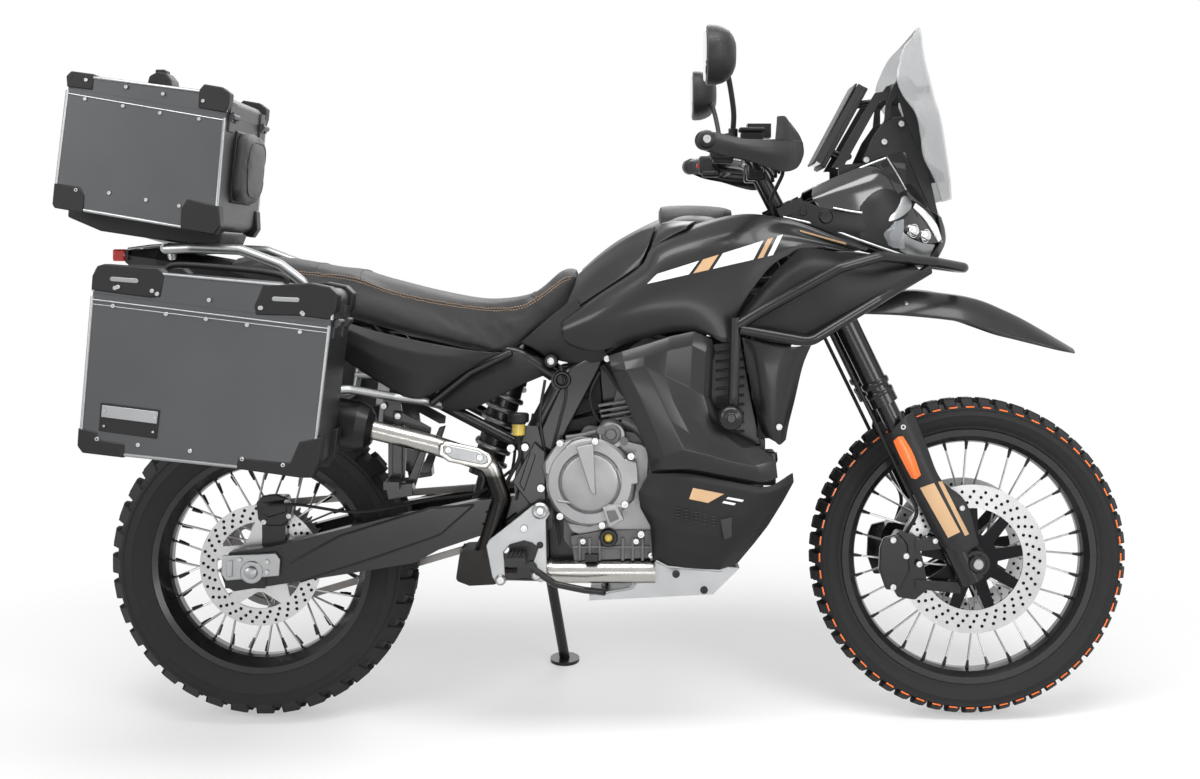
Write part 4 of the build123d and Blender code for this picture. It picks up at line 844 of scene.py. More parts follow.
# low fairing: a pillar, an upper face and a shelf, with a valley between
fairRows = [
    [(608, 356, -214), (622, 351, -222), (645, 344, -230), (670, 336, -236), (694, 331, -236),
     (712, 339, -226), (716, 352, -214)],
    [(610, 366, -222), (624, 362, -232), (644, 357, -240), (668, 350, -246), (692, 345, -246),
     (706, 352, -236), (713, 362, -222)],
    [(612, 372, -224), (626, 370, -246), (645, 367, -248), (666, 376, -240), (690, 388, -236),
     (704, 396, -230), (712, 398, -214)],
    [(626, 404, -222), (640, 398, -246), (656, 388, -250), (674, 402, -240), (694, 416, -238),
     (712, 424, -234), (724, 428, -216)],
    [(640, 436, -220), (654, 430, -246), (670, 420, -250), (690, 434, -244), (716, 444, -244),
     (742, 450, -240), (758, 446, -222)],
    [(648, 456, -218), (664, 456, -244), (684, 450, -250), (704, 454, -250), (730, 461, -250),
     (756, 466, -246), (776, 460, -226)],
    [(650, 470, -214), (668, 470, -238), (690, 469, -244), (712, 472, -246), (738, 477, -246),
     (762, 482, -242), (778, 478, -228)]]
makePanels("lowFairing", fairRows, "bodyGrey", edge=7.0, angle=7, facets=True,
           replaces="low_fairings")

guardRows = [
    [(648, 474, -214), (672, 473, -226), (694, 474, -232), (720, 479, -236), (748, 484, -236),
     (770, 486, -230), (793, 473, -208)],
    [(645, 480, -212), (668, 479, -226), (694, 481, -238), (720, 486, -242), (748, 491, -242),
     (771, 492, -232), (794, 482, -206)],
    [(638, 492, -206), (660, 500, -226), (688, 508, -236), (714, 512, -240), (740, 516, -240),
     (762, 514, -228), (783, 502, -204)],
    [(640, 508, -202), (656, 518, -224), (680, 530, -232), (706, 536, -236), (730, 538, -234),
     (750, 536, -222), (768, 526, -200)],
    [(650, 526, -200), (658, 536, -218), (676, 548, -226), (700, 554, -228), (722, 556, -226),
     (740, 552, -212), (754, 544, -196)],
    [(652, 558, -196), (658, 564, -206), (672, 567, -214), (694, 569, -216), (716, 570, -214),
     (726, 568, -204), (738, 563, -192)]]
makePanels("engineGuardSkin", guardRows, "blackPlastic", 48, 40, True,
           replaces="engine_guards")
guardTable = surfaceAt(guardRows, True)
makeDecals("guardFilmTan", [((693, 488), (724, 494), (708, 503), (689, 499))], guardTable, "tan")
makeDecals("guardFilmWhite", [((728, 497), (744, 500), (742, 502), (726, 499)),
                              ((724, 501), (736, 503.4), (734, 505.4), (722, 503))],
           guardTable, "white")
print("fairings made")

# nose: an inner core, then the outer panels (h, v, y)
ribSkin("noseCore", [
    (1382, [(0, 1194), (64, 1172), (108, 1098), (98, 1008), (62, 986)]),
    (1400, [(0, 1180), (58, 1160), (92, 1090), (82, 1006), (50, 984)]),
    (1440, [(0, 1122), (44, 1108), (62, 1066), (54, 1004), (32, 990)]),
    (1466, [(0, 1072), (24, 1064), (34, 1040), (30, 1014), (16, 1004)])], "blackPlastic", 50, 40,
    replaces="nose_cowl")
# a thin shell behind it, open below, leaves room for the fork to turn
makePanels("noseShell", [[toDrawn(x, -y, z) for y, z in half] for x, half in (
    (1278, [(0, 1184), (80, 1180), (134, 1136), (149, 1090), (148, 1032)]),
    (1320, [(0, 1202), (80, 1192), (136, 1134), (146, 1080), (136, 1012)]),
    (1352, [(0, 1206), (74, 1188), (128, 1124), (134, 1070), (118, 1000)]),
    (1386, [(0, 1192), (66, 1172), (108, 1108), (106, 1050), (90, 990)]))], "blackPlastic", 30, 30,
    thick=3.0)
makePanels("noseSmoked", [
    [(812, 188, -118), (832, 178, -120), (852, 170, -116), (870, 163, -106), (887, 157, -84)],
    [(812, 198, -148), (836, 191, -149), (858, 185, -142), (880, 177, -126), (899, 171, -98)],
    [(818, 207, -152), (842, 211, -153), (865, 211, -146), (886, 201, -132), (905, 190, -106)]],
    "smoke", 30, 20)
makePanels("noseSides", [
    [(783, 214, -128), (800, 201, -140), (820, 207, -152), (844, 212, -154), (866, 212, -147),
     (880, 217, -138)],
    [(790, 220, -140), (812, 224, -153), (836, 228, -155), (856, 232, -150), (870, 233, -143),
     (875, 232, -138)],
    [(800, 225, -138), (824, 233, -148), (846, 241, -148), (866, 247, -138), (884, 252, -122),
     (906, 257, -92)]], "blackPlastic", 34, 20)
makePanels("noseTop", [
    [(894, 142, 0), (910, 158, 0), (926, 188, 0), (941, 217, 0)],
    [(897, 146, -40), (911, 162, -40), (926, 191, -36), (939, 216, -30)],
    [(887, 157, -84), (897, 173, -86), (907, 190, -84), (921, 205, -72)],
    [(887, 158, -90), (898, 175, -96), (906, 192, -98), (912, 200, -96)]], "smoke", 30, 26, True)
makePanels("noseBlades", [
    [(878, 218, -137), (890, 207, -129), (904, 196, -111), (911, 199, -100)],
    [(881, 220, -141), (892, 214, -137), (903, 206, -123), (912, 205, -108)],
    [(885, 222, -141), (893, 221, -137), (903, 216, -125), (911, 209, -110)]], "silver", 24, 12)
makePanels("noseBezels", [
    [(903, 232, -120), (912, 239, -108), (924, 243, -84), (935, 245, -58)],
    [(900, 242, -116), (911, 248, -102), (923, 252, -80), (932, 252, -58)],
    [(898, 250, -110), (911, 256, -94), (922, 259, -74), (929, 258, -54)]], "silver", 24, 14)
makePanels("lampFace", [
    [(904, 213, -116), (911, 208, -104), (922, 218, -82), (941, 242, -40)],
    [(903, 224, -119), (911, 226, -108), (922, 232, -86), (936, 243, -50)],
    [(904, 230, -116), (911, 236, -106), (922, 242, -84), (932, 244, -56)]], "smoke", 24, 14)
makePanels("lampLeds", [
    [(916, 203, -92), (927, 212, -76), (937, 225, -58), (943, 243, -38)],
    [(914, 208, -98), (924, 218, -82), (932, 230, -66), (938, 242, -46)]], "ledWhite", 24, 8)
makePanels("lampLenses", [
    [(879, 221, -139), (888, 222, -137), (897, 221, -131), (904, 219, -123)],
    [(874, 230, -141), (884, 233, -139), (895, 235, -131), (904, 236, -119)],
    [(870, 238, -137), (882, 243, -133), (894, 248, -123), (905, 249, -109)]], "lampClear", 24, 14,
    thick=2.0, replaces="headlight")
makePanels("lampReflectors", [
    [(880, 223, -131), (888, 224, -129), (896, 223, -123), (903, 222, -115)],
    [(877, 229, -125), (886, 232, -121), (895, 234, -113), (903, 235, -105)],
    [(872, 237, -129), (883, 242, -125), (894, 246, -115), (904, 247, -101)]], "lampWhite", 24, 14,
    thick=2.0)
makePanels("noseFace", [
    [(941, 217, 0), (941, 217, -16), (938, 216, -30)],
    [(945, 230, 0), (944, 231, -18), (941, 233, -38)],
    [(945, 244, 0), (944, 244, -20), (940, 245, -48)],
    [(936, 262, 0), (935, 261, -22), (929, 259, -54)]], "blackPlastic", 12, 20)
makeGroup("lampProjectors", [
    lathe([(0, 9), (7, 8), (12, 4), (13.5, 0), (15, 0), (15, -14), (0, -14)], drawn(*at), 32,
          (0.62, -0.72, -0.1))
    for at in ((914, 231, -111), (926, 236, -84))], "mirrorGlass", True)
makeGroup("noseEdges", [routed(line, -112 - 14 * k, 24, r, 8) for k, (line, r) in enumerate((
    ([(853, 171), (870, 164), (886, 158)], 2.4), ([(887, 158), (897, 174), (906, 190)], 1.6)))],
    "silver", True)
makeGroup("noseLedges", [routed(line, y, 30, r, 8) for line, y, r in (
    ([(783, 217), (820, 226), (862, 241), (905, 256)], -150, 2.8),
    ([(833, 208), (848, 211), (862, 213)], -158, 2.6))], "silver", True)
makeGroup("noseLineTan", [routed([(784, 226), (812, 233), (862, 249)], -146, 24, 1.6, 8)], "tan", True)
makeGroup("nosePlugs", [lathe([(0, 3), (12, 2), (16, -2), (17, -12), (0, -12)], drawn(826, 217, -156), 32),
                        boltHead(drawn(803, 212, -146), 8, 4)], "boltBlack", True)
print("nose made")

# windscreen: for each height the middle and the edge (x, z), and the half width; across it
# stays flat near the middle, turns at a crease, then sweeps back to the edge
screenRows = [(1425, 1499, 1421, 1496, 20), (1428, 1480, 1399, 1466, 82), (1431, 1450, 1377, 1440, 118),
              (1438, 1412, 1362, 1406, 146), (1447, 1378, 1354, 1372, 162), (1457, 1335, 1366, 1335, 168),
              (1467, 1300, 1394, 1296, 166), (1476, 1255, 1406, 1250, 156), (1484, 1205, 1414, 1205, 146),
              (1490, 1160, 1440, 1160, 126), (1493, 1122, 1462, 1113, 88)]
across = np.linspace(-1, 1, 61)
sweep = np.where(abs(across) < 0.55, 0.16 * (across / 0.55) ** 2,
                 0.16 + 0.84 * (np.clip(abs(across) - 0.55, 0, 1) / 0.45) ** 1.15)
screenLines = curveThrough(screenRows, 60)[:, None, :]
screenGrid = np.stack([screenLines[..., 0] + (screenLines[..., 2] - screenLines[..., 0]) * sweep,
                       screenLines[..., 4] * across[None],
                       screenLines[..., 1] + (screenLines[..., 3] - screenLines[..., 1]) * sweep], -1)
screen = makePiece("screenShield", screenGrid, gridFaces(60, 61), "chassis", "screenClear")
walled(screen, 4.0, 0.0)
standing(screen, "windscreen")
makeBolts("screenBolts", [(905, 80, -118), (905, 80, -88), (901, 124, -96), (884, 142, -92),
                          (866, 160, -94)], 7, 5, mirrored=True)
makeGroup("screenStays", [seenSlab([(893, 86), (898, 78), (906, 75), (912, 80), (918, 88), (911, 89),
                                    (911, 100), (917, 114), (926, 132), (918, 150), (905, 120), (898, 96),
                                    (892, 104), (892, 118), (884, 122), (886, 102), (890, 92)], -94, -88),
                          seenSlab([(886, 118), (908, 116), (920, 134), (926, 160), (938, 214), (930, 210),
                                    (905, 152), (880, 158), (868, 168), (862, 160), (872, 138)], -92, -86)],
          "blackPlastic", True, 1.5)
makeGroup("displayBezel", [slab([(1203, 1190), (1212, 1185), (1305, 1356), (1296, 1361)], -82, 82),
                           slab([(1188, 1197), (1192, 1195), (1284, 1368), (1280, 1370)], -66, 66)],
          "blackPlastic", False, 2.0)

# front fender: z falls from the middle line to the edge as a power of the distance across, plus a
# straight share that starts at 0.3 of it
fenderRows = [(1294, 896, 52, 872), (1360, 914, 66, 870), (1414, 921, 70, 866), (1473, 914, 71, 860),
              (1517, 908, 71, 853), (1561, 897, 71, 838), (1604, 879, 70, 823), (1648, 858, 68, 812),
              (1692, 833, 64, 801), (1736, 807, 50, 790), (1760, 793, 26, 785)]
lines = curveThrough(fenderRows, 70)[:, None, :]
fenderT = np.linspace(-1, 1, 49)[None]
fenderDrop = 0.72 * abs(fenderT) ** 2.4 + 0.28 * np.clip(abs(fenderT) - 0.3, 0, 1) / 0.7
fenderGrid = np.stack([lines[..., 0] + 0 * fenderT, lines[..., 2] * fenderT * (1 - 0.06 * fenderT ** 4),
                       lines[..., 1] - (lines[..., 1] - lines[..., 3]) * fenderDrop], -1)
fender = makePiece("fenderShell", fenderGrid, gridFaces(70, 49)[:, ::-1], "steering", "bodyGrey")
walled(fender, 3.5, -1.0)
standing(fender, "front_fender")
makeGroup("fenderStay", [box(1236, 1400, -38, 38, 874, 888),
                         slab([(1236, 874), (1262, 874), (1290, 900), (1262, 908), (1236, 908)], -36, 36)],
          "blackPlastic", False, 3.0, body="steering")
makeBolts("fenderBolts", [(880, 303, -48), (906, 304, -52)], 6, 4, axis=(0, -0.5, 0.86), mirrored=True,
          body="steering")

# fork guards, their stripes and reflectors
guardSkinRows = [
    [(887, 437, -126), (901, 468, -126), (916, 500, -124), (931, 530, -122), (942, 547, -120)],
    [(892, 430, -146), (908, 463, -148), (925, 498, -148), (941, 530, -146), (951, 550, -140)],
    [(903, 419, -152), (919, 453, -154), (937, 490, -154), (954, 522, -152), (965, 552, -144)],
    [(913, 412, -132), (927, 446, -134), (941, 479, -134), (966, 502, -132), (979, 545, -126)]]
makePanels("forkGuardSkins", guardSkinRows, "trimPlastic", 40, 24, replaces="fork_guards",
           body="steering")
forkTable = surfaceAt(guardSkinRows)
makeDecals("forkFilmTan", [((920, 488), (934, 483), (960, 532), (948, 538)),
                           ((938, 482), (942, 481), (969, 534), (965, 536))],
           forkTable, "tan", body="steering")
makePanels("forkReflectors", [
    [(893, 441, -153), (900, 457, -155), (911, 478, -154)],
    [(898, 437, -161), (907, 456, -163), (916, 479, -162)],
    [(903, 436, -154), (913, 453, -156), (921, 475, -155)]], "orange", 20, 12,
    body="steering")
makeBolts("forkGuardBolts", [(935, 541, -146), (903, 427, -150), (962, 508, -152)], 6, 4, mirrored=True,
          body="steering")

# hand guards
handRows = [
    [(702, 133, -468), (716, 132, -474), (740, 138, -478), (760, 139, -470), (776, 139, -456),
     (794, 140, -420), (803, 142, -345)],
    [(699, 140, -472), (716, 141, -480), (738, 146, -486), (760, 150, -480), (780, 153, -462),
     (797, 154, -424), (804, 153, -340)],
    [(702, 147, -468), (722, 155, -474), (746, 160, -474), (766, 167, -460), (784, 172, -436),
     (796, 169, -400), (801, 163, -340)]]
makePanels("handGuardShells", handRows, "trimPlastic", 44, 20, angle=30,
           replaces="handguards", body="steering")
makePanels("handGuardFins", [
    [(776, 140, -458), (777, 128, -452), (778, 116, -444)],
    [(784, 140, -446), (786, 128, -440), (785, 116, -432)],
    [(794, 141, -420), (793, 131, -418), (789, 121, -420)],
    [(803, 143, -350), (799, 134, -362), (790, 122, -390)]], "trimPlastic", 16, 30,
    body="steering")
makeGroup("handGuardEnds", [lathe([(0, 5), (9, 5), (15, 2), (18, -5), (18, -22), (0, -22)],
                                  drawn(707, 139, -478), 32),
                            tube(curveThrough([(943, -462, 1218), (1010, -462, 1196), (1090, -430, 1186),
                                 (1120, -340, 1184), (1096, -250, 1192)], 40), 7, 12)], "blackPlastic", True,
          body="steering")
makeBolts("handGuardBolts", [(707, 139, -484)], 8, 5, mirrored=True, body="steering")
makeGroup("brakeReservoir", [box(1018, 1062, -330, -286, 1222, 1246),
                             box(1014, 1066, -334, -282, 1246, 1254),
                             box(1018, 1062, 286, 330, 1222, 1246),
                             box(1014, 1066, 282, 334, 1246, 1254)], "blackPlastic", False, 3.0,
          body="steering")

# mirrors: closed outline (y, z) about the middle, scaled at each (x, scale)
mirrorMiddle = (-420, 1388)
mirrorFace = [(-74, -40), (-88, 0), (-76, 46), (-20, 57), (50, 52), (84, 22), (80, -26), (30, -56),
              (-30, -56)]
mirrorRim = curveThrough(mirrorFace, 56, closed=True)
mirrorSteps = [(943, 0.0), (943, 0.9), (945, 0.985), (950, 1.0), (962, 0.99), (975, 0.93), (987, 0.82),
               (996, 0.62), (1001, 0.4), (1003, 0.0)]
glassSteps = [(940.5, 0.0), (940.5, 0.85), (942.2, 0.87), (942.2, 0.0)]


def mirrorCup(steps):
    grid = np.stack([np.column_stack([np.full(len(mirrorRim), x), mirrorMiddle[0] - mirrorRim[:, 0] * k,
                                      mirrorMiddle[1] + mirrorRim[:, 1] * k]) for x, k in steps])
    return grid, [gridFaces(*grid.shape[:2], loopV=True)]


stem = curveThrough([(1003, -300, 1226), (1003, -303, 1250), (1003, -318, 1290), (990, -352, 1356),
                     (974, -400, 1386)], 40)
makeGroup("mirrorShells", [mirrorCup(mirrorSteps), tube(stem, 5.5),
                           tube(stem[:10] + np.array([0, 0, 6.0]), 9.5), tube(stem[-5:], 9.0)],
          "trimPlastic", True, replaces="mirrors", body="steering")
makeGroup("mirrorGlasses", [mirrorCup(glassSteps)], "mirrorGlass", True,
          body="steering")
print("bar and fork dress made")

# side panels under the seat, with a raised ridge
sideRows = [
    [(318, 322, -150), (338, 320, -158), (372, 330, -162), (420, 341, -166), (470, 350, -168),
     (500, 353, -166)],
    [(320, 330, -158), (342, 328, -166), (376, 342, -172), (412, 352, -176), (452, 358, -176),
     (484, 360, -168)],
    [(322, 338, -160), (346, 342, -168), (380, 360, -178), (410, 372, -182), (436, 378, -176),
     (462, 374, -166)],
    [(330, 350, -158), (362, 372, -166), (392, 390, -174), (414, 398, -178), (428, 396, -172),
     (444, 388, -164)]]
makePanels("sidePanelSkins", sideRows, "blackPlastic", 44, 24, True,
           replaces="side_panels")
print("side panels made")

# soft pieces: a closed base, then cloth blown up a little over twenty frames
def frozen(piece):
    # the piece's modifiers are worked into its mesh
    graph = bpy.context.evaluated_depsgraph_get()
    old = piece.data
    piece.data = bpy.data.meshes.new_from_object(piece.evaluated_get(graph))
    piece.modifiers.clear()
    bpy.data.meshes.remove(old)


def vertexArray(mesh):
    co = np.empty(len(mesh.vertices) * 3, np.float32)
    mesh.vertices.foreach_get("co", co)
    return co.reshape(-1, 3)


# the covers' cloth: stiffness against stretch and folding, and frames that it is blown for
cloth = {"stretch": 18.0, "fold": 2.0, "frames": 20}


def puffed(piece, voxel, pressure, cap, isHeld):
    # the piece is meshed evenly and blown up with air, never further than cap (mm); isHeld(points) says
    # which points stay in place
    remesh = piece.modifiers.new("even", "REMESH")
    remesh.mode, remesh.voxel_size, remesh.use_smooth_shade = "VOXEL", voxel / 1000.0, True
    frozen(piece)
    before = vertexArray(piece.data)
    group = piece.vertex_groups.new(name="held")
    group.add(np.flatnonzero(isHeld(before)).tolist(), 1.0, "REPLACE")
    air = piece.modifiers.new("air", "CLOTH").settings
    air.use_pressure, air.uniform_pressure_force = True, pressure
    air.tension_stiffness = air.compression_stiffness = cloth["stretch"]
    air.bending_stiffness = cloth["fold"]
    air.vertex_group_mass = "held"
    air.effector_weights.gravity = 0.0
    for step in range(1, cloth["frames"] + 1):
        bpy.context.scene.frame_set(step)
    frozen(piece)
    after = vertexArray(piece.data)
    move = after - before
    far = np.linalg.norm(move, axis=1)[:, None]
    after = before + move * np.minimum(1.0, cap / 1000.0 / np.maximum(far, 1e-9))
    piece.data.vertices.foreach_set("co", after.astype(np.float32).ravel())
    piece.vertex_groups.clear()
    bpy.context.scene.frame_set(1)
    piece.data.polygons.foreach_set("use_smooth", np.ones(len(piece.data.polygons), bool))
    piece.data.update()


def onSurface(piece, path, lift):
    # path points moved to the nearest of the piece's vertices, and off them along the normal, in world metres
    at = toWorld(path)
    co = vertexArray(piece.data)
    normal = np.empty(len(co) * 3, np.float32)
    piece.data.vertices.foreach_get("normal", normal)
    normal = normal.reshape(-1, 3)
    d = ((at[:, None] - co[None]) ** 2).sum(-1)
    near = np.argpartition(d, 5, axis=1)[:, :5]
    w = 1 / (np.take_along_axis(d, near, 1) + 1e-7)
    w /= w.sum(1, keepdims=True)
    return (co[near] * w[..., None]).sum(1) + lift / 1000.0 * (normal[near] * w[..., None]).sum(1)


def stitches(path, length, pitch):
    # short capsules along a world path
    along = np.concatenate([[0], np.cumsum(np.linalg.norm(np.diff(path, axis=0), axis=1))]) * 1000
    at = np.arange(pitch, along[-1] - pitch, pitch)
    ends = [np.stack([np.interp(at + s * length / 2, along, path[:, k]) for k in range(3)], 1)
            for s in (-1, 1)]
    run = ends[1] - ends[0]
    run /= np.linalg.norm(run, axis=1)[:, None]
    side = np.cross(run, (0.0, 0.2, 1.0))
    side /= np.linalg.norm(side, axis=1)[:, None]
    up = np.cross(side, run)
    angle = np.linspace(0, 2 * math.pi, 6, endpoint=False)[None, :, None]
    rings = []
    for t, r in ((0.0, 0.0), (0.08, 0.0006), (0.3, 0.0009), (0.7, 0.0009), (0.92, 0.0006), (1.0, 0.0)):
        middle = ends[0] * (1 - t) + ends[1] * t
        rings.append(middle[:, None] + r * (np.cos(angle) * side[:, None] + np.sin(angle) * up[:, None]))
    grid = np.stack(rings, 1)
    faces = gridFaces(6, 6, loopV=True)
    faces = (faces[None] + np.arange(len(at))[:, None, None] * 36).reshape(-1, 4)
    return grid.reshape(-1, 3), [faces]


seatRibs = []
for x, top, yTop, zEdge, yEdge, low, yLow in (
        (-60, 992, 60, 976, 100, 950, 105), (49, 986, 80, 968, 125, 925, 130),
        (159, 967, 85, 954, 138, 880, 148), (205, 962, 85, 948, 138, 868, 150),
        (240, 950, 87, 938, 135, 858, 150), (290, 936, 90, 921, 132, 844, 150),
        (378, 914, 92, 902, 130, 820, 150), (466, 898, 92, 887, 130, 800, 148),
        (525, 898, 90, 885, 125, 794, 138), (575, 907, 84, 892, 116, 824, 124),
        (608, 924, 74, 914, 104, 844, 108), (652, 963, 60, 946, 90, 870, 94),
        (678, 967, 45, 952, 76, 886, 80)):
    seatRibs.append((x, [(0, top + 2), (yTop * 0.6, top + 1), (yTop, top - 2), (yEdge - 4, zEdge + 3),
                         (yEdge + 2, zEdge - 6), (yEdge + (yLow - yEdge) * 0.6, zEdge - 0.5 * (zEdge - low)),
                         (yLow, low + 6), (yLow - 12, low - 2)]))
seat = ribSkin("seatCover", seatRibs, "seatVinyl", 90, 70, replaces="seat")
seatFloor = 0.018


def seatHeld(points):
    # points near the lower rim of the cover, at their own place along the seat
    back = toWorld([[r[0], 0, r[1][-1][1]] for r in seatRibs])
    return points[:, 2] < np.interp(points[:, 0], back[:, 0], back[:, 2]) + seatFloor


puffed(seat, 6.0, 3.0, 6.0, seatHeld)
stitchLine = [(60, 968), (138, 959), (212, 948), (255, 933), (307, 917), (392, 899), (477, 886), (530, 885),
              (572, 892), (610, 914), (644, 940), (672, 950)]
edgeY = np.array([[r[0], r[1][3][0]] for r in seatRibs])
for side, name in ((-1, "Right"), (1, "Left")):
    line = curveThrough(stitchLine, 260)
    y = np.interp(line[:, 0], edgeY[:, 0], edgeY[:, 1])
    rows = [onSurface(seat, np.column_stack([line[:, 0], side * (y - off), line[:, 1] + off * 0.3]), 0.5)
            for off in (-4.0, 4.0)]
    points, faces = joined([stitches(row, 4.2, 6.4) for row in rows])
    sewn = makePiece("seatStitches" + name, points, faces, "chassis", "tanThread", world=True)
    points, faces = tube(onSurface(seat, np.column_stack([line[:, 0], side * y, line[:, 1]]), 0.2),
                         0.0014, 8)
    pipe = makePiece("seatPiping" + name, points, faces, "chassis", "seatVinyl", world=True)
crossSeams = []
for x, z in ((214, 962), (120, 974), (588, 912)):
    y = np.linspace(-128, 128, 70)
    crossSeams.append(tube(onSurface(seat, np.column_stack([np.full(70, x) + 10 * (y / 128.0) ** 2, y,
                                     z - 14 * (y / 128.0) ** 4]), 0.1), 0.0013, 8))
points, faces = joined(crossSeams)
makePiece("seatSeams", points, faces, "chassis", "seatVinyl", world=True)

# backrest pad: at each height a rounded rectangle, drawn in at the top and bottom
padT = np.linspace(0, 1, 34)
padU = np.linspace(0, 2 * math.pi, 60, endpoint=False)
padWide = 104 * (1 - abs(2 * padT - 1) ** 7) ** 0.5 * (1 - 0.05 * padT)
padDeep = 17 * (1 - abs(2 * padT - 1) ** 5) ** 0.5


def rounded(c):
    # a sine or cosine pushed out towards the corners: sign(c) |c|^0.55
    return np.sign(c) * abs(c) ** 0.55


padGrid = np.stack([(-49 + 17 * padT)[:, None] + padDeep[:, None] * rounded(np.cos(padU))[None],
                    padWide[:, None] * rounded(np.sin(padU))[None],
                    np.broadcast_to((1109 + 156 * padT)[:, None], (34, 60))], -1)
pad = tidyPiece(makePiece("backrestCushion", padGrid, gridFaces(34, 60, loopV=True), "chassis", "padVinyl"))
padBack = toWorld([[-62, 0, 1109], [-45, 0, 1265]])
puffed(pad, 4.0, 4.0, 5.0, lambda q: q[:, 0] < np.interp(q[:, 2], padBack[:, 2], padBack[:, 0]) + 0.006)
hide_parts("backrest_pad")
ringT = np.linspace(0, 2 * math.pi, 90)
ring = np.column_stack([-26 + 10 * np.sin(ringT), 80 * rounded(np.cos(ringT)),
                        1187 + 58 * rounded(np.sin(ringT))])
points, faces = tube(onSurface(pad, ring, 0.2), 0.0016, 8)
makePiece("backrestSeam", points, faces, "chassis", "blackPlastic", world=True)
print("soft pieces made")


# cases: caps, edge beads that paint a highlight, rivets, latches; each shape is made for the right case and
# mirrored for the left
def makeEach(name, shapes, finish, edge=0.0, onLids=False):
    for side, lid, word in ((1, "right_lid", "Right"), (-1, "left_lid", "Left")):
        flipped = [(np.asarray(p, float).reshape(-1, 3) * np.array([1, side, 1]), [g[:, ::side] for g in f])
                   for p, f in shapes]
        makeGroup(name + word, flipped, finish, False, edge, body=lid if onLids else "chassis")


caseFace, capWrap, inFace = -503.0, 46.0, -272.0
lidCaps = [[(263, 285), (310, 283), (330, 287), (338, 295), (336, 311), (329, 320), (300, 316), (256, 315),
            (254, 306), (258, 297)],
           [(92, 276), (97, 266), (104, 264), (158, 268), (164, 274), (160, 297), (150, 298), (112, 293),
            (91, 290)]]
baseCaps = [[(238, 458), (290, 463), (299, 442), (322, 437), (319, 462), (312, 478), (300, 478), (236, 469)],
            [(78, 428), (96, 432), (99, 440), (124, 444), (124, 458), (82, 453), (77, 446)]]
makeEach("lidCaps", [seenSlab(o, caseFace, caseFace + capWrap) for o in lidCaps] +
         [slab(drawnLine(o, caseFace)[:, [0, 2]], inFace - capWrap, inFace) for o in lidCaps],
         "blackPlastic", 2.5, onLids=True)
makeEach("baseCaps", [seenSlab(o, caseFace, caseFace + capWrap) for o in baseCaps] +
         [slab(drawnLine(o, caseFace)[:, [0, 2]], inFace - capWrap, inFace) for o in baseCaps],
         "blackPlastic", 2.5)
makeEach("lidSlots", [seenSlab(roundEnds(a, b, 4.5), caseFace - 1.0, caseFace + 2)
                      for a, b in (((274, 299), (297, 300)), ((112, 279), (136, 281)))], "caseEdge", 0.6,
         onLids=True)
lidRivets = [(115, 288), (157, 294), (209, 300), (261, 308), (303, 314), (260, 308), (302, 313), (118, 287),
             (152, 291)]
baseRivets = [(113, 306), (166, 314), (206, 319), (247, 325), (300, 332), (97, 439), (138, 445), (190, 451),
              (242, 459), (283, 465)]
makeEach("lidRivets", [boltHead(drawn(h, v, -503.5), 4.2, 2.5) for h, v in lidRivets], "boltSteel",
         onLids=True)
makeEach("baseRivets", [boltHead(drawn(h, v, -501), 4.2, 2.5) for h, v in baseRivets], "boltSteel")
# edge beads along the rounded edges and the seam, in paler metal: a painted highlight
makeEach("lidEdgeHighlights", [bead([(93.5, 291), (94.5, 276), (97, 270), (104, 268.6), (325, 289.4), (332, 291.5),
                            (334, 297), (331.5, 320)], -499, 3.6, 10)], "caseEdge", onLids=True)
makeEach("baseEdgeHighlights", [bead([(92.5, 296), (80.8, 440), (82, 447), (89, 451), (301, 473.6), (309, 473),
                             (313, 466), (329.5, 326)], -499, 3.6, 10),
                       bead([(92.5, 299.5), (329, 328.8)], -501, 1.6, 8),
                       bead([(92, 304), (328.6, 333)], -500.5, 1.1, 8)], "caseEdge")
makeEach("platesBlank", [seenSlab([(102, 405), (158, 412), (156.6, 424), (101, 417)], -503.5, -500)],
         "silver", 0.8)
makeEach("plateFrames", [seenSlab([(100.5, 402.5), (160, 410), (156.5, 439), (98.5, 431)], -502.4, -500)],
         "blackPlastic", 0.8)
makeEach("plateRivets", [boltHead(drawn(h, v, -503.5), 2.6, 2)
                         for h, v in ((104.5, 411), (155, 417.6), (104, 426), (153, 432))], "boltSteel")
makeEach("latches", [slab([(-229, 962), (-238, 958), (-244, 930), (-246, 896), (-250, 868), (-242, 864),
                           (-238, 890), (-231, 925)], -440, -360)], "caseEdge", 2.0, onLids=True)
makeEach("catches", [slab([(-238, 862), (-250, 858), (-252, 830), (-243, 826)], -430, -370),
                     lathe([(0, 12), (11, 11), (14, 7), (14, 0), (0, 0)], (-248, -392, 711), 32,
                           (-1, 0, 0))], "boltBlack", 1.0)
makeEach("lidHandles", [tube(curveThrough([(-120, -388, 958), (-112, -388, 976), (-60, -388, 977),
                             (60, -388, 966), (112, -388, 955), (118, -388, 938)], 40), 6, 12)],
         "blackPlastic", 0, onLids=True)
topLidCaps = [[(199, 90), (204, 84), (222, 87), (230, 93), (229, 104), (226, 113), (198, 108)],
              [(66, 76), (71, 71), (94, 74), (92, 90), (67, 87)]]
topBaseCaps = [[(181, 209), (187, 199), (219, 206), (220, 226), (214, 235), (180, 229)],
               [(54, 183), (80, 187), (84, 196), (83, 213), (54, 208), (52, 204)]]
makeGroup("topLidCaps", [seenSlab(o, -203, -164) for o in topLidCaps], "blackPlastic", True, 2.5,
          body="top_lid")
makeGroup("topBaseCaps", [seenSlab(o, -203, -164) for o in topBaseCaps], "blackPlastic", True, 2.5)
# the top case's edge beads in paler metal: a painted highlight
makeGroup("topLidEdgeHighlights", [bead([(68.4, 86), (70, 78), (75, 75.2), (220, 94), (227, 97), (226, 112)], -199,
                               3.4, 10)], "caseEdge", True, body="top_lid")
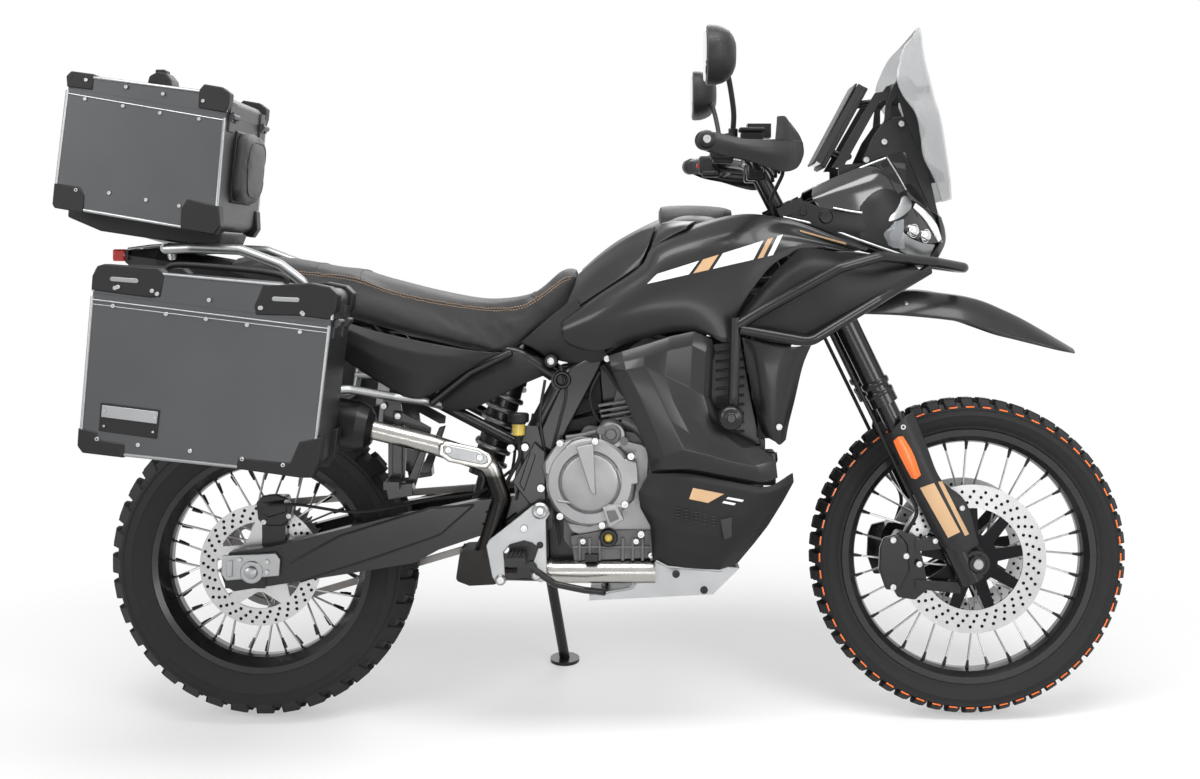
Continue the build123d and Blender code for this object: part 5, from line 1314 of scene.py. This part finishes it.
makeGroup("topBaseEdgeHighlights", [bead([(67.5, 90), (54.5, 200), (59, 206), (208, 231.5), (215, 229), (224.5, 118)],
                                -199, 3.4, 10),
                           bead([(68.4, 93.5), (224, 120.3)], -200.5, 1.4, 8)], "caseEdge", True)
makeGroup("topLidRivets", [boltHead(drawn(h, v, -203.5), 4, 2.5)
                           for h, v in ((86, 80), (126, 87), (163, 94), (203, 101))], "boltSteel", True,
          body="top_lid")
makeGroup("topBaseRivets", [boltHead(drawn(h, v, -201), 4, 2.5)
                            for h, v in ((85, 99), (123, 106), (160, 113), (199, 119), (109, 193),
                                (146, 200), (179, 206), (76, 190))], "boltSteel", True)
makeGroup("topHandle", [slab([(-256, 1362), (-250, 1388), (-232, 1398), (-214, 1396), (-202, 1380),
                              (-200, 1356)], -34, 34),
                        box(-240, -218, -22, 22, 1396, 1404)], "blackPlastic", False, 3.0,
          body="top_lid")
makeGroup("padSides", [slab([(-70, 1262), (-48, 1268), (-42, 1262), (-56, 1112), (-74, 1108)], -98, 98)],
          "blackPlastic", False, 3.0)
makeGroup("topFoot", [slab([(-330, 1050), (-120, 1018), (-80, 1020), (-70, 1046), (-398, 1100),
                            (-400, 1080)], -120, 120)], "blackPlastic", False, 4.0)
print("cases dressed")

# engine: clutch cover and what stands round it (h, v on the right side)
makeGroup("clutchHousing", [
    seenSlab([(541, 466), (552, 450), (566, 440), (580, 436), (600, 439), (618, 446), (632, 460), (638, 472),
              (636, 486), (634, 500), (622, 512), (606, 522), (590, 527), (568, 524), (552, 508),
              (546, 484)], -186, -160)], "engineCast", edge=4.0)
makeGroup("clutchCover", [lathe([(0, 14), (52, 14), (58, 11), (60, 5), (63, 3), (66, 8), (86, 6), (91, 1),
                                 (92, -12), (0, -12)],
                                drawn(590, 482, -190), 96)], "coverCast")
makeGroup("clutchWedge", [seenSlab([(576, 447), (593, 444), (596, 496), (590, 492)], -214, -190),
                          seenSlab([(556, 500), (626, 506), (624, 509), (558, 503)], -200, -190)],
          "coverCast", edge=2.5)
makeGroup("clutchRibs", [seenSlab([(622, 458), (637, 462), (639, 484), (620, 486), (616, 470)], -196, -170),
                         seenSlab([(545, 462), (556, 446), (572, 440), (562, 452), (553, 468), (552, 476),
                                   (545, 474)], -194, -170)], "coverCast", edge=3.0)
makeBolts("clutchBolts", [(560, 443, -196), (595, 441, -196), (631, 456, -198), (625, 504, -192),
                          (602, 525, -190), (560, 516, -190), (641, 534, -180)], 8.0, 9.0)
makeGroup("waterPump", [lathe([(0, 16), (10, 16), (12, 11), (19, 10), (25, 6), (29, 0), (30, -22), (0, -22)],
                              drawn(611, 434, -178), 48),
                        lathe([(0, 9), (9, 9), (9, -8), (0, -8)], drawn(601, 430, -182), 24),
                        lathe([(0, 9), (9, 9), (9, -8), (0, -8)], drawn(624, 441, -182), 24),
                        routed([(622, 420), (640, 430), (652, 450), (652, 480)], -160, 30, 13),
                        routed([(566, 438), (580, 436), (596, 432)], -176, 20, 6)], "engineCast")
makeGroup("sensorCover", [seenSlab([(602, 507), (617, 506), (624, 520), (609, 528)], -206, -180)],
          "coverCast", edge=2.0)
makeGroup("sensorWindow", [seenSlab([(606, 511), (615, 510), (619, 519), (610, 523)], -207.5, -200)],
          "engineCast", edge=1.0)
makeGroup("sightRing", [lathe([(9, 2), (12, 6), (17, 6), (19, 2), (19, -14), (0, -14), (0, -1), (9, -1)],
                              drawn(608.5, 538, -184), 40)], "boltBlack")
makeGroup("sightGlass", [lathe([(0, 3), (5, 2.4), (9, 0), (9, -2), (0, -2)], drawn(608.5, 538, -184), 32)],
          "fluidGold")
lowerRibs = [seenSlab([(h, 538), (h + 3.2, 538), (h + 3.2, 561), (h, 561)], -182, -160)
             for h in (578, 588, 598, 621, 631, 641, 650)]
makeGroup("lowerCase", [seenSlab([(570, 536), (604, 530), (656, 530), (657, 558), (574, 561)], -174, -140),
                        seenSlab([(572, 546), (656, 546), (656, 549), (572, 549)], -181, -160)] + lowerRibs,
          "engineCast", edge=1.6)
makeBolts("lowerBolts", [(583, 541, -178), (636, 541, -178), (651, 555, -178), (590, 557, -178)], 6.5, 8.0)
makeGroup("cylinderFins", [seenSlab([(598 + 1.4 * k, 405 + 5.2 * k), (640 + 1.2 * k, 398 + 5.2 * k),
                                     (640.6 + 1.2 * k, 400.4 + 5.2 * k), (598.4 + 1.4 * k, 407.4 + 5.2 * k)],
                                    -150, -110) for k in range(5)], "engineCast", edge=0.8)
makeGroup("framePlates", [seenSlab([(534, 443), (545, 452), (546, 500), (530, 505), (512, 482)], -182, -170),
                          seenSlab([(530, 452), (536, 455), (524, 492), (519, 484)], -185, -178)],
          "bodyGrey", True, 2.5)
makeBolts("frameBolts", [(511, 448, -166), (525, 447, -166), (541, 488, -184), (551, 361, -150)], 9.0, 7.0,
          mirrored=True)
makeGroup("airBoxes", [seenSlab([(556, 372), (600, 366), (604, 410), (566, 420)], -96, -60),
                       seenSlab([(562, 420), (600, 414), (598, 430), (566, 434)], -120, -60),
                       seenSlab([(574, 380), (588, 378), (590, 398), (576, 400)], -120, -90)],
          "blackPlastic", True, 4.0)
makeGroup("wireLooms", [routed(line, y, 40, r, 8) for line, y, r in (
    ([(560, 365), (566, 392), (560, 420), (552, 450)], -150, 3.5),
    ([(600, 372), (590, 396), (598, 420), (612, 424)], -146, 3.0),
    ([(545, 380), (540, 420), (548, 470), (556, 520), (560, 545)], -160, 3.2),
    ([(520, 436), (522, 470), (516, 500)], -168, 3.0),
    ([(604, 366), (622, 392), (640, 410), (650, 440)], -140, 5.0))], "hose")

# peg plates, rear brake reservoir, heat shields, header
makeGroup("pegPlates", [seenSlab([(532, 506), (540, 502), (548, 507), (550, 514), (546, 520), (547, 576),
                                  (541, 583), (533, 579), (530, 570), (538, 548), (532, 543), (524, 541),
                                  (510, 545), (504, 552), (505, 576), (502, 583), (496, 583), (492, 577),
                                  (486, 546), (489, 540)],
                                 -214, -206)], "silver", True, 1.8)
makeGroup("pegBosses", [lathe([(8, 4), (13, 6), (17, 3), (18, -6), (0, -6), (0, 2), (8, 2)],
                              drawn(540, 511, -216), 40)] +
          [lathe([(5, 3), (9, 4), (11.5, 1), (12, -6), (0, -6), (0, 1), (5, 1)], drawn(h, v, -216), 32)
           for h, v in ((500.5, 580), (536.5, 575))], "silver", True)
makeBolts("pegBolts", [(540, 511, -217), (524, 528.5, -215), (500.5, 580, -217), (536.5, 575, -217)], 8.0,
          5.0, mirrored=True)
makeBolts("pegBoltsDark", [(540, 545, -214), (493, 527, -160)], 7.0, 4.0, "boltBlack", mirrored=True)
pegTeeth = [box(544 + 8 * k, 547 + 8 * k, y - 3, y + 3, 383, 389) for k in range(5)
            for y in np.arange(-284, -224, 12)]
makeGroup("pegGrips", [box(541, 581, -286, -222, 378, 385)] + pegTeeth, "blackPlastic", True, 0.8)
gold = drawn(518.5, 424, -178)
makeGroup("reservoirCup", [lathe([(0, -26), (9, -26), (13, -22), (14, 0), (0, 0)], gold, 32, (0, 0, 1))],
          "fluidGold")
makeGroup("reservoirCap", [lathe([(0, 0), (15, 0), (16, 3), (21, 4), (22, 8), (22, 20), (19, 23), (0, 23)],
                                 gold, 32, (0, 0, 1)),
                           lathe([(0, -40), (6, -40), (9, -30), (12, -24), (0, -24)], gold, 24, (0, 0, 1)),
                           tube(curveThrough([np.add(gold, o)
                                for o in ((0, 0, -38), (2, 0, -70), (-18, 4, -110), (-40, 10, -150))], 30),
                                4)], "blackPlastic")
makeGroup("heatShields", [seenSlab([(439, 444), (446, 441), (478, 448), (490, 454), (493, 462), (487, 469),
                                    (476, 468), (448, 462), (438, 455)], -224, -212)], "pipeSteel", edge=4.0)
makeGroup("heatShieldRise", [seenSlab([(443, 446), (449, 445), (478, 451), (487, 457), (488, 463),
                                       (482, 465), (452, 459), (443, 453)], -229, -220)], "silver", edge=2.5)
makeBolts("heatShieldBolts", [(448.5, 450, -228), (480, 457.5, -228)], 7.5, 5.0)
makeGroup("headerPipe", [routed([(546, 571.5), (560, 571.5), (610, 571.5), (655, 571.5)], -168, 40, 24, 32),
                         bead([(549, 571.5), (552.5, 571.5)], -168, 27, 32),
                         routed([(462, 571), (500, 570), (548, 571)], -130, 30, 22, 24)], "pipeSteel")
makeGroup("collectorBox", [seenSlab([(460, 548), (492, 556), (498, 582), (466, 576), (459, 568)],
                                    -150, -70)], "engineCast", edge=6.0)
makeGroup("headerBracket", [seenSlab([(585, 555), (598, 555), (598, 562), (585, 562)], -196, -170)],
          "boltBlack", edge=1.0)

# swingarm: pressed ridges, axle blocks with their nuts and bolts
makeGroup("armRidges", [bead([(290, 563), (340, 536), (430, 508), (474, 505)], -146.5, 2.6, 8),
                        bead([(300, 582), (380, 556), (440, 535), (474, 505)], -146.5, 2.2, 8),
                        bead([(486, 511), (499, 526), (516, 513)], -146.5, 2.6, 8)], "bodyGrey", True)
makeGroup("axleBlocks", [seenSlab([(222, 556), (275, 553), (280, 560), (279, 576), (226, 581), (221, 574)],
                                  -161, -149),
                         seenSlab([(226, 563), (232, 560), (232, 577), (226, 577)], -167, -152)], "silver",
          True, 2.0)
makeGroup("axleNuts", [lathe([(0, 10), (9, 10), (12, 8), (14, 0), (22, 0), (24, -2), (24, -8), (0, -8)],
                             (0, -165, 333), 24)], "silver", True)
makeBolts("axleBolts", [(267, 562, -162), (267, 572, -162), (240, 560, -162)], 5.0, 4.0, mirrored=True)


# wheels
def wheelFinish(name, centre, inner, outer):
    # black hub and rim with bright spokes between two radii
    f = Finish(name, (0.01, 0.01, 0.011), 0.28, 0.2, 0.4)
    x, y, z = f.split(f.place())
    r = ((x - centre[0] / 1000) ** 2 + (z - centre[2] / 1000) ** 2).root()
    bright = (r > inner / 1000) * (r < outer / 1000)
    cloud = f.noise(30.0, 4.0)
    dark = f.mix(cloud, (0.007, 0.007, 0.008), (0.014, 0.014, 0.015))
    f.set(colour=f.mix(bright, dark, f.mix(cloud, (0.3, 0.3, 0.31), (0.5, 0.5, 0.51))),
          metal=bright * 0.8 + 0.2, rough=cloud * 0.14 + 0.22)
    return f


finishes["frontWheel"] = wheelFinish("frontWheel", bike["frontAxle"], 42, 243)
finishes["rearWheel"] = wheelFinish("rearWheel", bike["rearAxle"], 52, 200)


def discFinish(name, centre, rows, holes, carrier=0.0):
    # brushed steel with rows of drilled holes left dark; each row is (radius, turn)
    f = Finish(name, (0.45, 0.45, 0.45), 0.3, 0.9)
    x, y, z = f.split(f.place())
    x, z = x - centre[0] / 1000, z - centre[2] / 1000
    r = (x ** 2 + z ** 2).root()
    turn = z.maths("ARCTAN2", x) * (holes / (2 * math.pi)) + 100.0
    dark = None
    for radius, offset in rows:
        along = ((turn + offset) % 1.0 - 0.5) * (2 * math.pi * radius / 1000 / holes)
        near = (along ** 2 + (r - radius / 1000) ** 2).root() < 0.0036
        dark = near if dark is None else dark.atLeast(near)
    rings = (r * 5200.0).sine()
    steel = f.mix(f.noise(20.0, 4.0), (0.4, 0.4, 0.4), (0.56, 0.56, 0.56))
    inside = r < carrier / 1000
    f.set(colour=f.mix(dark, f.mix(inside, steel, (0.012, 0.012, 0.013)), (0.01, 0.01, 0.01)),
          rough=rings * 0.05 + 0.32)
    return f


finishes["frontDiscs"] = discFinish("frontDiscs", bike["frontAxle"], ((122, 0.0), (134, 0.33), (146, 0.66)),
                                    36, 110)
finishes["rearDisc"] = discFinish("rearDisc", bike["rearAxle"], ((102, 0.0), (112, 0.33), (122, 0.66)), 30)
dress({"frontWheel": ["front_wheel"], "rearWheel": ["rear_wheel"], "frontDiscs": ["front_discs"],
       "rearDisc": ["rear_disc"]})


# spokes: how many, the lead of a crossed spoke in radians, half the spread of the holes in the rim, and the
# radii of a nipple at places along its spoke
spokes = {"count": 32, "lead": 0.85, "rimWide": 6.0, "along": (-4.0, 8.0, 13.0, 20.0),
          "radii": (4.4, 4.0, 3.2, 2.7)}


def nipples(name, centre, hubWide, hubHigh, rimHigh, body):
    # each spoke's end at the rim, laid along its own spoke; spokes are crossed forward and back in pairs
    out = []
    for k in range(spokes["count"]):
        side, turn = (1 if k % 2 else -1), 2 * math.pi * k / spokes["count"]
        lead = spokes["lead"] if (k // 2) % 2 else -spokes["lead"]
        inner = np.array([hubHigh * math.sin(turn + lead), side * hubWide, hubHigh * math.cos(turn + lead)])
        outer = np.array([rimHigh * math.sin(turn), side * spokes["rimWide"], rimHigh * math.cos(turn)])
        run = (inner - outer) / np.linalg.norm(inner - outer)
        out.append(tube([centre + outer + run * at for at in spokes["along"]], np.array(spokes["radii"]), 8))
    makeGroup(name, out, "forkBlack", body=body)


nipples("frontNipples", bike["frontAxle"], 28.5, 31, 250, "front_wheel")
nipples("rearNipples", bike["rearAxle"], 39, 45, 195, "rear_wheel")


# tyre sizes: outer and rim radius, half width, how far the crown falls, lugs in a row, and the
# shoulder's (radius, half width)
tyres = {
    "front": {"radius": 345, "rim": 276, "half": 47, "crown": 11, "count": 56, "shoulder": (330, 45.4)},
    "rear": {"radius": 333, "rim": 228, "half": 75, "crown": 13, "count": 36, "shoulder": (300, 72)}}
lugs = {"deep": 15, "rootWider": 1.18, "stagger": 0.14, "groove": 13}


def tyreProfile(radius, rim, half, crown, shoulder):
    # (radius, along) from bead to crown: bead ridges, a bulged wall, the shoulder; then its mirror image
    high = radius - rim
    floor = radius - lugs["groove"]
    side = [(rim + out, half * wide) for out, wide in (
        (-2, 0.5), (1, 0.74), (5, 0.79), (8, 0.8), (10, 0.84), (0.3 * high, 0.97), (0.42 * high, 1),
        (0.46 * high, 1.03), (0.5 * high, 1), (0.62 * high, 0.985), (0.64 * high, 1.01), (0.66 * high, 0.98),
        (0.7 * high, 0.97))]
    side += [(shoulder[0] - 9, shoulder[1] - 2.5), (floor - crown * 0.45, half * 0.6), (floor, 0)]
    return side + [(r, -y) for r, y in side[-2::-1]]


def lugRow(centre, count, sign, y, r, width, turn):
    # blocks round the tyre between two (y, radius) edges, each width of the step long and longer at its root
    step = 2 * math.pi / count
    a = (np.arange(count) + turn + (lugs["stagger"] if sign > 0 else 0.0)) * step
    corner = []
    for depth, grow in ((0, 1.0), (lugs["deep"], lugs["rootWider"])):
        for yEdge, rEdge in zip(y, r):
            for s in (-1, 1):
                t = a + s * step * width / 2 * grow
                out = rEdge - depth
                corner.append(np.stack([centre[0] + out * np.cos(t),
                                        np.full(count, sign * yEdge) + centre[1],
                                        centre[2] + out * np.sin(t)], 1))
    cube = np.array([[0, 1, 3, 2], [4, 6, 7, 5], [0, 2, 6, 4], [1, 5, 7, 3], [2, 3, 7, 6], [0, 4, 5, 1]])
    faces = (cube[None] + 8 * np.arange(count)[:, None, None]).reshape(-1, 4)
    return np.stack(corner, 1).reshape(-1, 3), [faces]


def tyre(name, body, centre, radius, rim, half, crown, count, shoulder, replaces):
    # carcass turned about the axle, then an inner and an outer row of lugs on each side
    rows = []
    for sign in (-1, 1):
        rows.append(lugRow(centre, count, sign, (3, half * 0.36),
                           (radius - 0.4, radius - 0.1 * crown - 0.4), 0.6, 0.0))
        rows.append(lugRow(centre, count, sign, (half * 0.44, shoulder[1]),
                           (radius - 0.2 * crown - 0.8, shoulder[0]), 0.58, 0.1))
    carcass = lathe(tyreProfile(radius, rim, half, crown, shoulder), centre, 160, (0, 1, 0))
    makeGroup(name, [carcass], "tyreRubber", angle=30, replaces=replaces, body=body)
    makeGroup(name + "Lugs", rows, "tyreRubber", angle=30, edge=1.3, body=body)


tyre("frontTyre", "front_wheel", bike["frontAxle"], **tyres["front"], replaces="front_tyre")
tyre("rearTyre", "rear_wheel", bike["rearAxle"], **tyres["rear"], replaces="rear_tyre")

# orange dashes round the front tyre's shoulders: half their length in radians, two (radius, half width) edges
dash = {"half": 0.028, "edges": ((324.5, 46.6), (327.5, 46.4))}


def dashRing(sign):
    count = tyres["front"]["count"]
    a = np.arange(count) * 2 * math.pi / count
    x, z = bike["frontAxle"][0], bike["frontAxle"][2]
    (r0, y0), (r1, y1) = dash["edges"]
    ring = np.stack([np.stack([x + r * np.cos(a + t), np.full(count, sign * y), z + r * np.sin(a + t)], 1)
                     for t, r, y in ((-dash["half"], r0, y0), (dash["half"], r0, y0),
                                     (dash["half"], r1, y1), (-dash["half"], r1, y1))], 1)
    order = np.arange(4)[None] if sign < 0 else np.arange(4)[None, ::-1]
    return ring.reshape(-1, 3), [order + 4 * np.arange(count)[:, None]]


dashPoints, dashFaces = joined([dashRing(-1), dashRing(1)])
makePiece("frontTyreDashes", dashPoints, dashFaces, "front_wheel", "orange")
print("wheels made")

# calipers, fork ends and rings, front axle cap
makeGroup("caliperFaces", [seenSlab([(884, 538), (900, 534), (908, 545), (910, 570), (900, 590), (886, 590),
                                     (879, 570), (880, 548)], -106, -90)], "forkBlack", True, 4.0,
          body="steering")
makeGroup("rearCaliperFace", [seenSlab([(256, 503), (262, 496), (276, 494), (288, 499), (292, 508),
                                        (290, 520), (282, 526), (268, 526), (258, 520)], -106, -92),
                              seenSlab([(262, 503), (284, 500), (287, 512), (268, 518), (261, 513)],
                                       -110, -104)], "forkBlack", edge=2.5)
makeBolts("rearCaliperBolts", [(264, 522, -107), (287, 502, -107), (289, 516, -107)], 6.0, 4.0)
makeBolts("caliperBolts", [(893, 540, -108), (893, 587, -108), (919, 564, -104), (906, 556, -106)], 7.0, 5.0,
          mirrored=True, body="steering")
makeGroup("forkEnds", [lathe([(0, 4), (9, 4), (12, 8), (17, 8), (20, 4), (21, -10), (0, -10)],
                             (1530, -126, 345), 40)], "forkBlack", True, body="steering")
makeGroup("forkRings", [lathe([(0, -7), (29, -7), (31, -3), (31, 4), (29, 7), (0, 7)],
                              (1502 - 0.4877 * (z - 345), -105, z), 40, (-0.438, 0, 0.899))
                        for z in (706, 726, 1050)], "forkBlack", True, body="steering")
makeGroup("frontAxleCap", [lathe([(0, 6), (10, 6), (12, 3), (12, -6), (0, -6)], (1530, -136, 345), 32)],
          "silver", True, body="steering")

# bar: grips, switches, levers, cables and clamp
grip = [(938, -462, 1218), (960, -400, 1215), (975, -340, 1212)]
makeGroup("barGrips", [tube(curveThrough(grip, 30), 17, 20)] +
          [tube(curveThrough(grip, 30)[k:k + 2], 18.2, 20) for k in range(2, 28, 2)], "hose", True,
          body="steering")
makeGroup("switchBlocks", [box(956, 1000, -326, -282, 1192, 1234), box(962, 1004, -300, -270, 1184, 1200)],
          "blackPlastic", True, 5.0, body="steering")
makeGroup("levers", [tube(curveThrough([(1010, -300, 1206), (1030, -350, 1204), (1030, -410, 1200),
                                        (1022, -452, 1196)], 30), np.linspace(6, 4.5, 30), 10)], "boltBlack",
          True, body="steering")
makeGroup("redSwitches", [box(950, 958, -312, -298, 1206, 1216)], "redLens", True, 1.5,
          body="steering")
makeGroup("barCables", [tube(curveThrough(line, 40), 3.4, 8) for line in (
    [(1020, -300, 1215), (1075, -240, 1206), (1100, -150, 1192), (1108, -66, 1168)],
    [(1030, -310, 1226), (1084, -250, 1214), (1106, -160, 1198), (1114, -80, 1176)],
    [(1000, -290, 1200), (1060, -200, 1190), (1092, -110, 1176), (1104, -46, 1160)])], "hose", True,
    body="steering")
makeGroup("barClamp", [box(1040, 1092, -70, 70, 1196, 1214), box(1046, 1086, -62, -34, 1160, 1200),
                       box(1046, 1086, 34, 62, 1160, 1200)], "forkBlack", False, 5.0,
          body="steering")

# tail lamp and trim, skid plate folds, cover bolts and guard vents
makeGroup("tailLens", [box(-324, -296, -54, 54, 986, 1012)], "redLens", False, 4.0)
makeGroup("tailTrim", [bead([(128, 249), (150, 246), (176, 244), (190, 246)], -60, 3.0, 8)], "silver", True)
makeBolts("skidBolts", [(676, 574, -214), (704, 590, -170)], 8.0, 4.0, "boltBlack", mirrored=True)
makeGroup("skidFolds", [bead([(648, 566), (632, 588), (598, 594)], -170, 3.0, 8),
                        bead([(656, 561), (668, 567), (722, 571)], -214, 2.5, 8)], "silver", True)
makeBolts("coverBolts", [(779, 427, -214), (551, 361, -164), (607, 359, -196)], 7.0, 4.0, mirrored=True)
makeGroup("guardVents", [seenSlab([(720, 520), (732, 517), (732, 537), (724, 540)], -244, -234)] +
          [seenSlab([(676 + 9 * k, 508 + 2 * k - 3 * j), (680 + 9 * k, 508.6 + 2 * k - 3 * j),
                     (679.6 + 9 * k, 509.8 + 2 * k - 3 * j), (675.6 + 9 * k, 509.2 + 2 * k - 3 * j)],
                    -241, -236)
           for k in range(5) for j in range(-3, 1)], "deepGrey", True, 0.8)
print("details made")

# fillers in the middle of the bike: wedges under the tank, inner side covers, beams, ducts, hangers,
# the shock's spring and the rear hoses
makePanels("tankWedges", [
    [(520, 343, -128), (538, 327, -134), (557, 311, -138), (575, 297, -144)],
    [(537, 350, -138), (556, 343, -148), (574, 335, -154), (592, 328, -160)],
    [(546, 358, -132), (570, 363, -142), (590, 363, -150), (610, 359, -158)]], "blackPlastic", 24, 16)
makePanels("innerCovers", [
    [(430, 402, -128), (462, 371, -132), (490, 352, -134), (520, 352, -130), (549, 360, -124)],
    [(440, 406, -134), (470, 384, -140), (496, 372, -142), (522, 368, -136), (548, 368, -126)],
    [(452, 412, -132), (476, 408, -138), (500, 396, -138), (524, 384, -132), (546, 375, -124)]],
    "blackPlastic", edge=3.0, angle=6, facets=True)
makeGroup("frameBeams", [seenSlab([(570, 368), (584, 360), (604, 356), (600, 368), (562, 440), (552, 452),
                                   (536, 444), (541, 428)], -150, -128),
                         bead([(430, 404), (470, 372), (512, 352)], -148, 9, 14)], "framePaint", True, 4.0)
makeGroup("frameRings", [lathe([(11, 2), (13, 5), (17, 5), (19, 1), (19, -12), (0, -12), (0, -6), (11, -6)],
                               drawn(562, 380, -154), 40),
                         lathe([(7, 2), (9, 4), (13, 4), (15, 0), (15, -10), (0, -10), (0, -4), (7, -4)],
                               drawn(551, 361, -148), 40)], "boltBlack", True)
# dark slabs in the hollows deep inside the bike: painted shade
makeGroup("paintedShadeCore", [seenSlab([(546, 500), (575, 518), (588, 566), (552, 568), (549, 560)], -118, -60),
                       seenSlab([(578, 364), (614, 360), (646, 430), (640, 446), (570, 446), (560, 438)],
                                -92, -40),
                       seenSlab([(700, 344), (742, 340), (752, 398), (762, 446), (716, 446), (706, 400)],
                                -150, -110),
                       seenSlab([(652, 452), (776, 452), (776, 486), (650, 484)], -186, -120)], "deepGrey",
          True, 4.0)
# a dark sheet behind the wing panels' upper edge: painted shade in the gap
makeGroup("wingShadeFillers", [seenSlab([(806, 252), (850, 251), (884, 256), (878, 276), (806, 274)],
                                   -178, -170)], "deepGrey", True, 2.0)
makeGroup("ductVanes", [seenSlab([(716, 352 + 9 * k), (744, 349 + 9 * k), (744.6, 351.4 + 9 * k),
                                  (716.4, 354.4 + 9 * k)], -156, -148) for k in range(10)], "blackPlastic",
          True, 0.8)
makeGroup("barFeet", [lathe([(0, 10), (16, 10), (22, 7), (26, 0), (27, -20), (0, -20)],
                            drawn(731, 418, -268), 40),
                      lathe([(0, 15), (8, 15), (9, 10), (0, 10)], drawn(731, 418, -268), 24)], "framePaint",
          True)
makeGroup("hangers", [seenSlab([(393, 411), (402, 412), (431, 428), (430, 436), (424, 436), (402, 424),
                                (402, 478), (408, 478), (424, 440), (431, 438), (414, 490), (396, 490),
                                (392, 470)], -152, -140),
                      seenSlab([(385, 486), (412, 484), (413, 496), (388, 500)], -200, -146)], "framePaint",
          True, 2.0)
makeBolts("hangerBolts", [(384, 406, -150), (398, 416, -154), (404, 484, -154)], 7.0, 5.0, mirrored=True)
# shock spring: the strut's ends, where the spring starts along it and how long it is, turns, radius and wire
spring = {"low": np.array([455.0, 0, 430]), "top": np.array([548.0, 0, 792]), "start": 106, "long": 186,
          "turns": 6.5, "radius": 35, "wire": 6.5}


def springPath():
    # a helix about the strut: start + share of the length, and radius (cos a, sin a) square to it
    run = (spring["top"] - spring["low"]) / np.linalg.norm(spring["top"] - spring["low"])
    turns = np.linspace(0, spring["turns"], 200)[:, None]
    across = np.cross(run, (0, 1, 0))
    around = np.cos(2 * math.pi * turns) * across + np.sin(2 * math.pi * turns) * np.array([0, 1, 0])
    along = spring["start"] + spring["long"] * turns / spring["turns"]
    return spring["low"] + run * along + spring["radius"] * around


makeGroup("shockSpring", [tube(springPath(), spring["wire"], 10)], "silver")
makeGroup("rearHoses", [routed(line, y, 50, 3.2, 8) for line, y in (
    ([(268, 505), (300, 505), (360, 512), (430, 500), (480, 492), (512, 470)], -128),
    ([(516, 440), (512, 470), (500, 500), (470, 560)], -150))], "hose")
print("fillers made")

print("pieces done")
